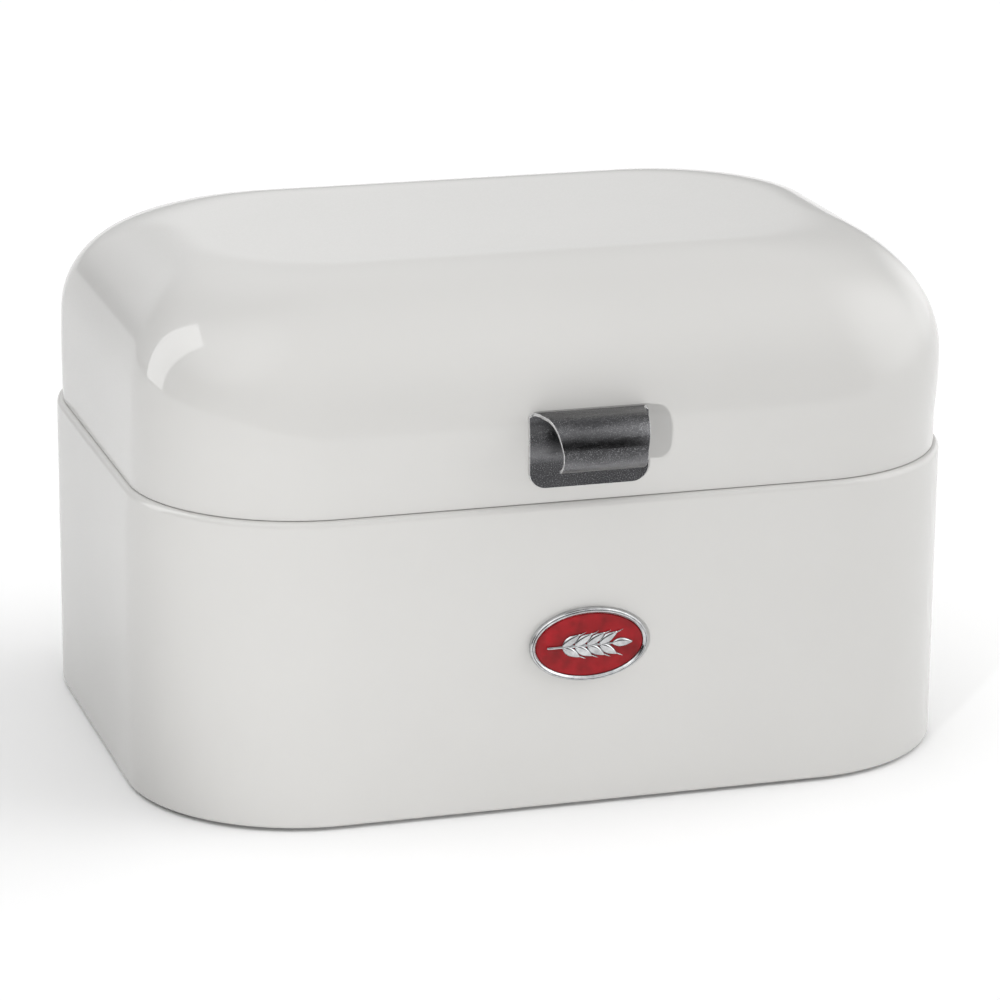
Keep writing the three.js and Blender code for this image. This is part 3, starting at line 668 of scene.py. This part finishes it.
def handle_outline(route):
    """Flat shape of the handle: the plate, the flare beside its neck and the tapering grip."""
    _, stations, total = route
    plate_top = stations[2 + PLATE_STEPS]
    grip_front = total - (GRIP_CURL - HANDLE_SHEET / 2) * math.pi / 2 - GRIP_DROP
    right = arc(PLATE_HALF - PLATE_CORNER, PLATE_CORNER, PLATE_CORNER, -1, 0, 10)
    flare_start = plate_top + NECK_BEND * 0.4
    for i in range(FLARE_STEPS + 1):
        share = i / FLARE_STEPS
        ease = math.sin(share * math.pi / 2)
        right.append((PLATE_HALF + (NECK_HALF - PLATE_HALF) * ease, flare_start + FLARE * share))
    right.append((LIP_HALF, grip_front))
    right += arc(LIP_HALF - LIP_CORNER, total - LIP_CORNER, LIP_CORNER, 0, 1, 5)
    return right + [(-x, s) for x, s in reversed(right)]


def threaded_rod(bm, x, z, radius, y0, y1):
    """Stud along Y with a shallow thread."""
    turns = max(1, round((y1 - y0) / THREAD_PITCH))
    profile = [(0, y0)]
    for i in range(turns):
        low = y0 + (y1 - y0) * i / turns
        pitch = (y1 - y0) / turns
        profile += [(radius - THREAD_DEPTH, low + 0.1 * pitch), (radius, low + 0.5 * pitch)]
    profile += [(radius - THREAD_DEPTH, y1 - 0.1 * MM), (0, y1)]
    lathe(bm, profile, (x, 0, z), BACKWARD, 24)


def join_mesh(bm, piece):
    """Adds another object's mesh to a bmesh and removes the object."""
    bm.from_mesh(piece.data)
    bpy.data.objects.remove(piece)


def handle():
    route = handle_route()
    sheet = sheet_part("blank", [handle_outline(route)], HANDLE_SHEET, route, HANDLE_EDGE, rim_slot=1)
    bm = bmesh.new()
    join_mesh(bm, sheet)
    root = WALL_FACE - GAP - HANDLE_SHEET / 2
    for side in (-1, 1):
        threaded_rod(bm, side * STUD_X, STUD_Z, STUD_RADIUS, root, HANDLE_HIGH[1])
    piece = finish_mesh(bm, "handle_fine", SHEET_SHARP)
    place(piece, "lid", GUNMETAL, "handle")
    piece.data.materials.append(CUT_EDGE)  # the sheared rim of the sheet is bare and brighter


# ------------------------------------------------------------------ badge

BADGE_LOW, BADGE_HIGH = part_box("badge_frame")
BADGE_Z = (BADGE_LOW[2] + BADGE_HIGH[2]) / 2
BADGE_LONG = (BADGE_HIGH[0] - BADGE_LOW[0]) / 2
BADGE_SHORT = (BADGE_HIGH[2] - BADGE_LOW[2]) / 2
BADGE_BACK = MIDDLE_Y - HALF_DEPTH - GAP
CLIP_LOW, CLIP_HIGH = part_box("badge_clip_right")
BADGE_PIN_X = (CLIP_LOW[0] + CLIP_HIGH[0]) / 2
BADGE_PIN_RADIUS = 1 * MM
RIM_WIDTH = 1.8 * MM
BADGE_STEPS = 96
DOME_STEPS = 8


def oval_ring(inset, rise):
    """Oval in front of the body's face."""
    ring = []
    for i in range(BADGE_STEPS):
        angle = 2 * math.pi * i / BADGE_STEPS
        x = (BADGE_LONG - inset) * math.cos(angle)
        z = BADGE_Z + (BADGE_SHORT - inset) * math.sin(angle)
        ring.append(Vector((x, BADGE_BACK - rise, z)))
    return ring


def badge_frame():
    """Cup with a low step outside, a groove, a bright crown and a slope down to the enamel."""
    step = [(0.12, 0), (0, 0.12), (0, 1.5), (0.1, 1.8), (0.3, 2.0), (0.5, 2.0)]
    groove = [(0.56, 1.75), (0.66, 1.75), (0.74, 2.15)]
    crown = [(0.9, 2.4), (1.1, 2.4), (1.6, 2.0), (1.76, 1.8), (1.8, 1.6), (1.8, 1.05), (1.9, 1.0)]
    scale = (BADGE_BACK - BADGE_LOW[1]) / max(rise for _, rise in crown)
    bm = bmesh.new()
    skin(bm, [oval_ring(inset * MM, rise * scale) for inset, rise in step + groove + crown])
    start, end = BADGE_BACK - 0.5 * MM, BADGE_HIGH[1]
    radius = BADGE_PIN_RADIUS
    pin = [(0, start), (radius, start), (radius, end - 0.4 * MM), (radius * 0.6, end), (0, end)]
    for side in (-1, 1):
        lathe(bm, pin, (side * BADGE_PIN_X, 0, BADGE_Z), BACKWARD, 20)
    place(finish_mesh(bm, "badge_frame_fine"), "base", CHROME, "badge_frame")


def badge_enamel():
    """Slightly domed field of enamel with a soft edge."""
    low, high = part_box("badge_enamel")
    start = BADGE_BACK - high[1]
    inset = RIM_WIDTH + 0.08 * MM
    rings = [oval_ring(inset + 0.1 * MM, start), oval_ring(inset, start + 0.1 * MM)]
    rings += [oval_ring(inset, start + 0.3 * MM), oval_ring(inset + 0.2 * MM, start + 0.5 * MM)]
    side = start + 0.5 * MM
    dome = BADGE_BACK - low[1] - side
    for i in range(1, DOME_STEPS + 1):
        share = i / DOME_STEPS
        inward = inset + 0.2 * MM + share * (BADGE_SHORT - inset - 1.2 * MM)
        rings.append(oval_ring(inward, side + dome * math.sin(share * math.pi / 2)))
    bm = bmesh.new()
    skin(bm, rings)
    place(finish_mesh(bm, "badge_enamel_fine"), "base", ENAMEL, "badge_enamel")


EAR_LOW, EAR_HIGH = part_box("badge_wheat_ear")
EAR_PAIRS = 4
EAR_LEAN = 0.55
EAR_BARE_STEM = 5 * MM
GRAIN_LENGTH = 7.4 * MM
GRAIN_HALF = 1.5 * MM
STEM_HALF = 0.5 * MM
CREASE = 0.25
AWN_START = 0.82  # along a grain
AWN_LENGTH = 3.4 * MM
AWN_HALF = 0.24 * MM


def raised_leaf(bm, start, angle, length, half, height, base, crease):
    """Pointed drop with a domed back and a crease along it, lying in front of the enamel."""
    across, along = 8, 14
    grid = []
    for i in range(1, along):
        t = i / along
        reach = 0.8 * t * (1 - t) * length + t * t * length
        width = 4 * t * (1 - t) * half
        row = []
        for j in range(across + 1):
            v = 2 * j / across - 1
            dome = math.sqrt(max(0, 1 - v * v)) - crease * (1 - abs(v)) ** 3
            rise = height * dome * math.sin(math.pi * (0.04 + 0.92 * t)) ** 0.6
            x = start[0] + reach * math.cos(angle) - v * width * math.sin(angle)
            z = start[1] + reach * math.sin(angle) + v * width * math.cos(angle)
            row.append(bm.verts.new((x, base - rise, z)))
        grid.append(row)
    root = bm.verts.new((start[0], base, start[1]))
    end_x, end_z = start[0] + length * math.cos(angle), start[1] + length * math.sin(angle)
    point = bm.verts.new((end_x, base, end_z))
    for low, high in zip(grid, grid[1:]):
        for j in range(across):
            bm.faces.new((low[j], low[j + 1], high[j + 1], high[j]))
    for j in range(across):
        bm.faces.new((root, grid[0][j + 1], grid[0][j]))
        bm.faces.new((point, grid[-1][j], grid[-1][j + 1]))
    bm.faces.new([root] + [row[0] for row in grid] + [point] + [row[-1] for row in reversed(grid)])


def wheat_ear():
    """Stem, grains in pairs, and fine awns beside them."""
    base = EAR_HIGH[1]
    height = EAR_HIGH[1] - EAR_LOW[1]
    half_length = EAR_HIGH[0]
    tip = half_length - GRAIN_LENGTH
    pitch = (2 * half_length - GRAIN_LENGTH - EAR_BARE_STEM) / EAR_PAIRS
    bm = bmesh.new()
    stem = [(-half_length, 0.75), (-half_length + 1 * MM, 1.0), (0, 0.8), (tip + GRAIN_HALF, 0.6)]
    rings = []
    for x, share in stem:
        radius = STEM_HALF * share
        ring = []
        for across, rise in arc(0, 0, radius, 0, 2, 8):
            ring.append(Vector((x, base - 1.2 * rise, BADGE_Z + across)))
        rings.append(ring)
    skin(bm, rings)
    raised_leaf(bm, (tip, BADGE_Z), 0, GRAIN_LENGTH, GRAIN_HALF, height, base, CREASE)
    reach = AWN_START * GRAIN_LENGTH
    for i in range(1, EAR_PAIRS + 1):
        for side in (-1, 1):
            x = tip - i * pitch
            lean = side * EAR_LEAN
            raised_leaf(bm, (x, BADGE_Z), lean, GRAIN_LENGTH, GRAIN_HALF, height, base, CREASE)
            awn = (x + reach * math.cos(lean), BADGE_Z + reach * math.sin(lean))
            raised_leaf(bm, awn, 0.75 * lean, AWN_LENGTH, AWN_HALF, 0.4 * height, base, 0)
    ear = finish_mesh(bm, "badge_wheat_ear_fine", EAR_SHARP)
    place(ear, "base", CHROME, "badge_wheat_ear")


# ------------------------------------------------------------------ hinge

PIN_LOW, PIN_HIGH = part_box("hinge_pin")
AXIS_Y = (PIN_LOW[1] + PIN_HIGH[1]) / 2
AXIS_Z = (PIN_LOW[2] + PIN_HIGH[2]) / 2
KNUCKLE_RADIUS = 2.75 * MM
LEAF = 1 * MM
LEAF_RELIEF = KNUCKLE_RADIUS + GAP
KNUCKLE_COUNT = 7
KNUCKLE_LENGTH = (2 * HINGE_HALF - (KNUCKLE_COUNT - 1) * GAP) / KNUCKLE_COUNT
CURL_END = math.radians(300)  # how far a knuckle wraps round the pin
LEAF_CORNER = 2.5 * MM
LEAF_EDGE = 0.15 * MM
STEP_RUN = 2.6 * MM  # height over which the lid's leaf steps out from the lid to the body's plane
STEP_STEPS = 5
CURL_STEPS = 36
STOP_ROOT = 2.2 * MM  # from the axis, inside the curl
STOP_REACH = 6 * MM
STOP_THICKNESS = 1.6 * MM
STOP_WIDTH = 9 * MM
STOP_FACE = -0.414 * MM  # height of its lower face from the axis
STOP_EDGE = 0.3 * MM
PIN_RADIUS = 1.5 * MM
PIN_HEAD = 1.2 * MM


def leaf_outline(relief, tip, parity):
    """Flat leaf from its root at 0, with tabs for the knuckles of one parity beyond the relief line."""
    half = HINGE_HALF
    points = arc(LEAF_CORNER - half, LEAF_CORNER, LEAF_CORNER, 3, 2, SMALL_STEPS)
    if parity:
        points.append((-half, relief))
    for index in range(parity, KNUCKLE_COUNT, 2):
        start = -half + index * (KNUCKLE_LENGTH + GAP)
        end = start + KNUCKLE_LENGTH
        if start > -half + GAP:
            points.append((start, relief))
        points += [(start, tip), (end, tip)]
        if end < half - GAP:
            points.append((end, relief))
    if parity:
        points.append((half, relief))
    points += arc(half - LEAF_CORNER, LEAF_CORNER, LEAF_CORNER, 4, 3, SMALL_STEPS)
    return list(reversed(points))


def hinge_leaf(name, heading, root, step, rivets, parity):
    """Leaf that runs from its root edge towards the axis, steps out to it and curls round the pin."""
    relief_z = AXIS_Z + math.copysign(LEAF_RELIEF, root - AXIS_Z)
    length = abs(root - relief_z)
    segments = [(length, 0, 1)]
    if step:
        angle = 2 * math.atan2(step, STEP_RUN)
        radius = math.hypot(step, STEP_RUN) / (4 * math.sin(angle / 2))
        straight = length - STEP_RUN
        length = straight + 2 * radius * angle
        segments = [
            (straight, 0, 1),
            (radius * angle, radius, STEP_STEPS),
            (radius * angle, -radius, STEP_STEPS),
        ]
    middle_radius = KNUCKLE_RADIUS - LEAF / 2
    segments += [
        (LEAF_RELIEF, 0, 1),
        (middle_radius * CURL_END, -math.copysign(middle_radius, heading), CURL_STEPS),
    ]
    route = follow((REAR_FACE + GAP + LEAF / 2 - step, root), heading, segments)
    holes = [circle(middle(node).x, abs(middle(node).z - root), RIVET_HOLE) for node in rivets]
    outline = leaf_outline(length, route[2], parity)
    return sheet_part(name, [outline] + holes, LEAF, route, LEAF_EDGE)


def hinge():
    low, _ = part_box("hinge_body_leaf")
    leaf = hinge_leaf(
        "hinge_body_leaf_fine", math.pi / 2, low[2], 0, rivet_nodes("body_rivet"), 0)
    place(leaf, "base", ZINC, "hinge_body_leaf")
    _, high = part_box("hinge_lid_leaf")
    leaf = hinge_leaf(
        "blank", -math.pi / 2, high[2], LID_INSET, rivet_nodes("lid_rivet"), 1)
    bm = bmesh.new()
    join_mesh(bm, leaf)
    # A stop behind each outer knuckle of the lid meets the body's leaf when the lid is fully open.
    for side in (-1, 1):
        stop(bm, side * (HINGE_HALF - 1.5 * KNUCKLE_LENGTH - GAP))
    leaf = finish_mesh(bm, "hinge_lid_leaf_fine", SHEET_SHARP)
    place(leaf, "lid", ZINC, "hinge_lid_leaf")


def stop(bm, x):
    """Blunt tongue behind a knuckle, rounded at its tip."""
    outline = [(STOP_ROOT, STOP_FACE)]
    outline += arc(STOP_REACH - STOP_EDGE, STOP_FACE + STOP_EDGE, STOP_EDGE, -1, 0, 4)
    top = STOP_FACE + STOP_THICKNESS
    outline += arc(STOP_REACH - STOP_EDGE, top - STOP_EDGE, STOP_EDGE, 0, 1, 4)
    outline.append((STOP_ROOT, top))
    ends = (x - STOP_WIDTH / 2, x + STOP_WIDTH / 2)
    skin(bm, [[Vector((end, AXIS_Y + y, AXIS_Z + z)) for y, z in outline] for end in ends])


def hinge_pin():
    """Pin with a low domed head at each end."""
    end = PIN_HIGH[0]
    head_radius = (PIN_HIGH[2] - PIN_LOW[2]) / 2
    side = [(0, end), (0.5 * head_radius, end - 0.06 * MM), (0.85 * head_radius, end - 0.3 * MM)]
    side += [(head_radius, end - 0.7 * MM), (head_radius, end - PIN_HEAD + 0.1 * MM)]
    side += [(head_radius - 0.1 * MM, end - PIN_HEAD), (PIN_RADIUS, end - PIN_HEAD)]
    profile = side + [(radius, -height) for radius, height in reversed(side)]
    bm = bmesh.new()
    lathe(bm, profile, (0, AXIS_Y, AXIS_Z), (1, 0, 0), 40)
    place(finish_mesh(bm, "hinge_pin_fine"), "base", ZINC, "hinge_pin")


# ------------------------------------------------------------------ fixings

RIVET_SHANK = 1.5 * MM
RIVET_DOME = 1.1 * MM
RIVET_UPSET = 0.55 * MM
NUT_HALF = 3.5 * MM  # half the width across flats
NUT_CLEARANCE = 0.15 * MM
NUT_STEPS = 72
STRIP_CORNER = 2 * MM


def rivet(node, body):
    """Domed head outside, shank, and an upset flat head with a dimple inside."""
    low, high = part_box(node)
    spot = middle(node)
    head = (high[2] - low[2]) / 2
    end = low[1]
    outside = high[1] - RIVET_DOME
    inside = end + RIVET_UPSET
    profile = []
    for i in range(8):
        angle = i * math.pi / 16
        profile.append((head * math.sin(angle), outside + RIVET_DOME * math.cos(angle)))
    profile += [(head, outside + 0.12 * MM), (head - 0.08 * MM, outside)]
    profile += [(RIVET_SHANK, outside), (RIVET_SHANK, inside)]
    profile += [(head - 0.15 * MM, inside), (head, inside - 0.2 * MM), (head - 0.1 * MM, end + 0.1 * MM)]
    profile += [(head - 0.3 * MM, end), (0.9 * MM, end)]
    profile += [(0.6 * MM, end + 0.3 * MM), (0, end + 0.35 * MM)]
    bm = bmesh.new()
    lathe(bm, profile, (spot.x, 0, spot.z), BACKWARD, 32)
    place(finish_mesh(bm, node + "_fine"), body, ZINC, node)


def ring_part(node, body, bore, chamfer, dish=0.0):
    """Washer along Y with eased edges; a dished one is domed away from the sheet."""
    low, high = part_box(node)
    spot = middle(node)
    outer = (high[2] - low[2]) / 2
    y0, y1 = low[1], high[1]
    drop = 0.6 * dish
    profile = [(bore, y0 + chamfer + dish), (bore + chamfer, y0 + dish), (outer - chamfer, y0)]
    profile += [(outer, y0 + chamfer), (outer, y1 - chamfer - drop), (outer - chamfer, y1 - drop)]
    profile += [(bore + chamfer, y1), (bore, y1 - chamfer)]
    bm = bmesh.new()
    lathe(bm, profile, (spot.x, 0, spot.z), BACKWARD, 40)
    place(finish_mesh(bm, node + "_fine"), body, ZINC, node)


def nut(node):
    """Hexagon nut with the usual 30-degree chamfer on both faces."""
    low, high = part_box(node)
    spot = middle(node)
    bore = STUD_RADIUS + NUT_CLEARANCE
    y0, y1 = low[1], high[1]

    def ring(radius_at, y_at):
        points = []
        for i in range(NUT_STEPS):
            angle = 2 * math.pi * i / NUT_STEPS
            radius = radius_at(angle)
            x, z = spot.x + radius * math.cos(angle), spot.z + radius * math.sin(angle)
            points.append(Vector((x, y_at(radius), z)))
        return points

    def hexagon(angle):
        return NUT_HALF / math.cos((angle % (math.pi / 3)) - math.pi / 6)

    slope = math.tan(math.radians(30))
    face = NUT_HALF * 0.96
    bm = bmesh.new()
    skin(bm, [
        ring(lambda a: bore, lambda r: y0 + 0.25 * MM),
        ring(lambda a: bore + 0.3 * MM, lambda r: y0),
        ring(lambda a: face, lambda r: y0),
        ring(hexagon, lambda r: y0 + (r - face) * slope),
        ring(hexagon, lambda r: y1 - (r - face) * slope),
        ring(lambda a: face, lambda r: y1),
        ring(lambda a: bore + 0.3 * MM, lambda r: y1),
        ring(lambda a: bore, lambda r: y1 - 0.25 * MM),
    ], looped=True)
    place(finish_mesh(bm, node + "_fine", NUT_SHARP), "lid", ZINC, node)


def backing_strip(node, body, rivets):
    """Strip with rounded ends inside a wall, under the heads of the rivets."""
    low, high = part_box(node)
    route = follow(((low[1] + high[1]) / 2, low[2]), math.pi / 2, [(high[2] - low[2], 0, 1)])
    outline = rounded_plate(high[0], 0, high[2] - low[2], STRIP_CORNER, STRIP_CORNER)
    holes = [circle(middle(name).x, middle(name).z - low[2], RIVET_HOLE) for name in rivets]
    strip_piece = sheet_part(node + "_fine", [outline] + holes, high[1] - low[1], route, LEAF_EDGE)
    place(strip_piece, body, ZINC, node)


# ------------------------------------------------------------------ bottom

PANEL_BEAD_INSET = 16 * MM
PANEL_BEAD_WIDTH = 7 * MM
PANEL_BEAD_RISE = 1.2 * MM
PANEL_BEAD_STEPS = 8
FOOT_DISH = 0.5 * MM


def bottom_panel():
    """Flat panel with a pressed bead that runs round it inside the walls."""
    low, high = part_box("bottom_panel")
    edge = HALF_WIDTH - high[0]
    rings = []
    for side, base in ((-1, low[2]), (1, high[2])):
        rows = [(edge, 0)]
        for i in range(PANEL_BEAD_STEPS + 1):
            share = i / PANEL_BEAD_STEPS
            rise = PANEL_BEAD_RISE * (0.5 - 0.5 * math.cos(2 * math.pi * share))
            rows.append((PANEL_BEAD_INSET + PANEL_BEAD_WIDTH * share, rise))
        rows.append((CORNER - 4 * MM, 0))
        rows = [ring_at(body_outline(-inset), base + rise) for inset, rise in rows]
        rings = list(reversed(rows)) + rings if side < 0 else rings + rows
    bm = bmesh.new()
    skin(bm, rings)
    place(finish_mesh(bm, "bottom_panel_fine"), "base", COAT, "bottom_panel")


def foot(node):
    """Rubber foot with a soft edge and a shallow dish under it."""
    low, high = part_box(node)
    spot = middle(node)
    radius = (high[0] - low[0]) / 2
    z0, z1 = low[2], high[2]
    top = z0 + FOOT_DISH
    profile = [(0, top), (radius - 3 * MM, top), (radius - 2.6 * MM, z0 + 0.1 * MM)]
    profile += [(radius - 2.4 * MM, z0), (radius - 0.8 * MM, z0), (radius - 0.3 * MM, z0 + 0.15 * MM)]
    profile += [(radius, z0 + 0.6 * MM), (radius, z1 - 0.1 * MM), (radius - 0.1 * MM, z1), (0, z1)]
    bm = bmesh.new()
    lathe(bm, profile, (spot.x, spot.y, 0), (0, 0, 1), 48)
    place(finish_mesh(bm, node + "_fine"), "base", RUBBER, node)


body_shell()
lid_shell()
handle()
badge_frame()
badge_enamel()
wheat_ear()
hinge()
hinge_pin()
for start, body in (("body", "base"), ("lid", "lid")):
    for name in rivet_nodes(start + "_rivet"):
        rivet(name, body)
    backing_strip(start + "_backing_strip", body, rivet_nodes(start + "_rivet"))
for side in ("left", "right"):
    ring_part("handle_washer_" + side, "lid", STUD_HOLE, 0.12 * MM)
    ring_part("badge_clip_" + side, "base", BADGE_PIN_RADIUS * 1.05, 0.08 * MM, 0.15 * MM)
    nut("handle_nut_" + side)
for name in rivet_nodes("foot_"):
    foot(name)
bottom_panel()

# ------------------------------------------------------------------ camera, floor and light


def floor():
    bm = bmesh.new()
    half = 8.0
    bm.faces.new([bm.verts.new((x * half, y * half, 0)) for x, y in ((-1, -1), (1, -1), (1, 1), (-1, 1))])
    piece = finish_mesh(bm, "floor")
    material, _, _ = new_material("pale_floor", (0.96, 0.96, 0.96), 0, 0.9)
    piece.data.materials.append(material)


def toward(azimuth, elevation):
    """Unit vector; azimuth 0 points to the front and 90 to the right."""
    turn, lift = math.radians(azimuth), math.radians(elevation)
    return Vector((math.sin(turn) * math.cos(lift), -math.cos(turn) * math.cos(lift), math.sin(lift)))


def camera():
    """A long lens in front of the box, a little to its left and above."""
    azimuth, elevation, roll, distance = -17.187, 16.784, 0.506, 1.47836
    target = Vector((3.515 * MM, MIDDLE_Y, 72.575 * MM))
    back = toward(azimuth, elevation)
    right = toward(azimuth + 90, 0)
    up = back.cross(right)
    turn = Matrix((right, up, back)).transposed() @ Matrix.Rotation(math.radians(roll), 3, "Z")
    data = bpy.data.cameras.new("camera")
    data.sensor_width = 36
    data.lens = 153.894
    data.clip_end = 50
    eye = bpy.data.objects.new("camera", data)
    eye.matrix_world = Matrix.Translation(target + back * distance) @ turn.to_4x4()
    bpy.context.scene.collection.objects.link(eye)
    bpy.context.scene.camera = eye


def area_light(name, position, aim, width, height, power):
    data = bpy.data.lights.new(name, "AREA")
    data.shape = "RECTANGLE"
    data.size = width
    data.size_y = height
    data.energy = power
    lamp = bpy.data.objects.new(name, data)
    turn = (Vector(aim) - Vector(position)).to_track_quat("-Z", "Y").to_matrix().to_4x4()
    lamp.matrix_world = Matrix.Translation(position) @ turn
    bpy.context.scene.collection.objects.link(lamp)
    return lamp


def studio_world(base, lobes):
    """Even light plus broad soft lobes, each (azimuth, elevation, full angle, fade angle, amount)."""
    world = bpy.data.worlds.new("studio")
    world.use_nodes = True
    tree = world.node_tree
    direction = tree.nodes.new("ShaderNodeTexCoord").outputs["Generated"]
    total = None
    for azimuth, elevation, full, fade, amount in lobes:
        dot = tree.nodes.new("ShaderNodeVectorMath")
        dot.operation = "DOT_PRODUCT"
        dot.inputs[1].default_value = toward(azimuth, elevation)
        tree.links.new(direction, dot.inputs[0])
        ramp = tree.nodes.new("ShaderNodeMapRange")
        ramp.interpolation_type = "SMOOTHSTEP"
        ramp.inputs["From Min"].default_value = math.cos(math.radians(fade))
        ramp.inputs["From Max"].default_value = math.cos(math.radians(full))
        ramp.inputs["To Max"].default_value = amount
        tree.links.new(dot.outputs["Value"], ramp.inputs["Value"])
        add = tree.nodes.new("ShaderNodeMath")
        add.inputs[0].default_value = base
        tree.links.new(ramp.outputs["Result"], add.inputs[1])
        if total:
            tree.links.new(total, add.inputs[0])
        total = add.outputs["Value"]
    background = tree.nodes["Background"]
    background.inputs["Color"].default_value = (1, 1, 1, 1)
    tree.links.new(total, background.inputs["Strength"])
    bpy.context.scene.world = world


def soft_box(name, azimuth, elevation, aim, distance, width, height, radiance):
    """Rectangular light seen from the aimed point in the given direction, with the given radiance."""
    position = Vector(aim) + toward(azimuth, elevation) * distance
    power = radiance * math.pi * width * height
    return area_light(name, position, aim, width, height, power)


def soft_spot(name, azimuth, elevation, aim, distance, angle, blend, radius, power):
    """Small lamp behind a wide soft-edged snoot, left out of the reflections."""
    data = bpy.data.lights.new(name, "SPOT")
    data.spot_size = math.radians(angle)
    data.spot_blend = blend
    data.shadow_soft_size = radius
    data.energy = power
    lamp = bpy.data.objects.new(name, data)
    way = toward(azimuth, elevation)
    turn = (-way).to_track_quat("-Z", "Y").to_matrix().to_4x4()
    lamp.matrix_world = Matrix.Translation(Vector(aim) + way * distance) @ turn
    lamp.visible_glossy = False
    bpy.context.scene.collection.objects.link(lamp)


bpy.context.scene.view_settings.view_transform = "Standard"
floor()
camera()
studio_world(0.02, [
    (80, 25, 5, 45, 2.2),
    (160, 25, 5, 45, 0.42),
    (-160, 25, 5, 45, 0.68),
    (125, 4, 4, 24, 1.39),
    (165, 14, 2, 13, 0.36),
    (-165, 14, 2, 13, 0.35),
    (-75, 60, 5, 38, 1.05),
    (0, 90, 20, 70, 0.84),
])
strip = soft_box("left_strip", -120, 27, (-115 * MM, -85 * MM, 145 * MM), 1.3, 0.5, 1.3, 3.5)
strip.visible_diffuse = False
soft_spot("key", -37, 6, (0, -110 * MM, 85 * MM), 1.3, 16.3, 0.55, 0.025, 33.5)
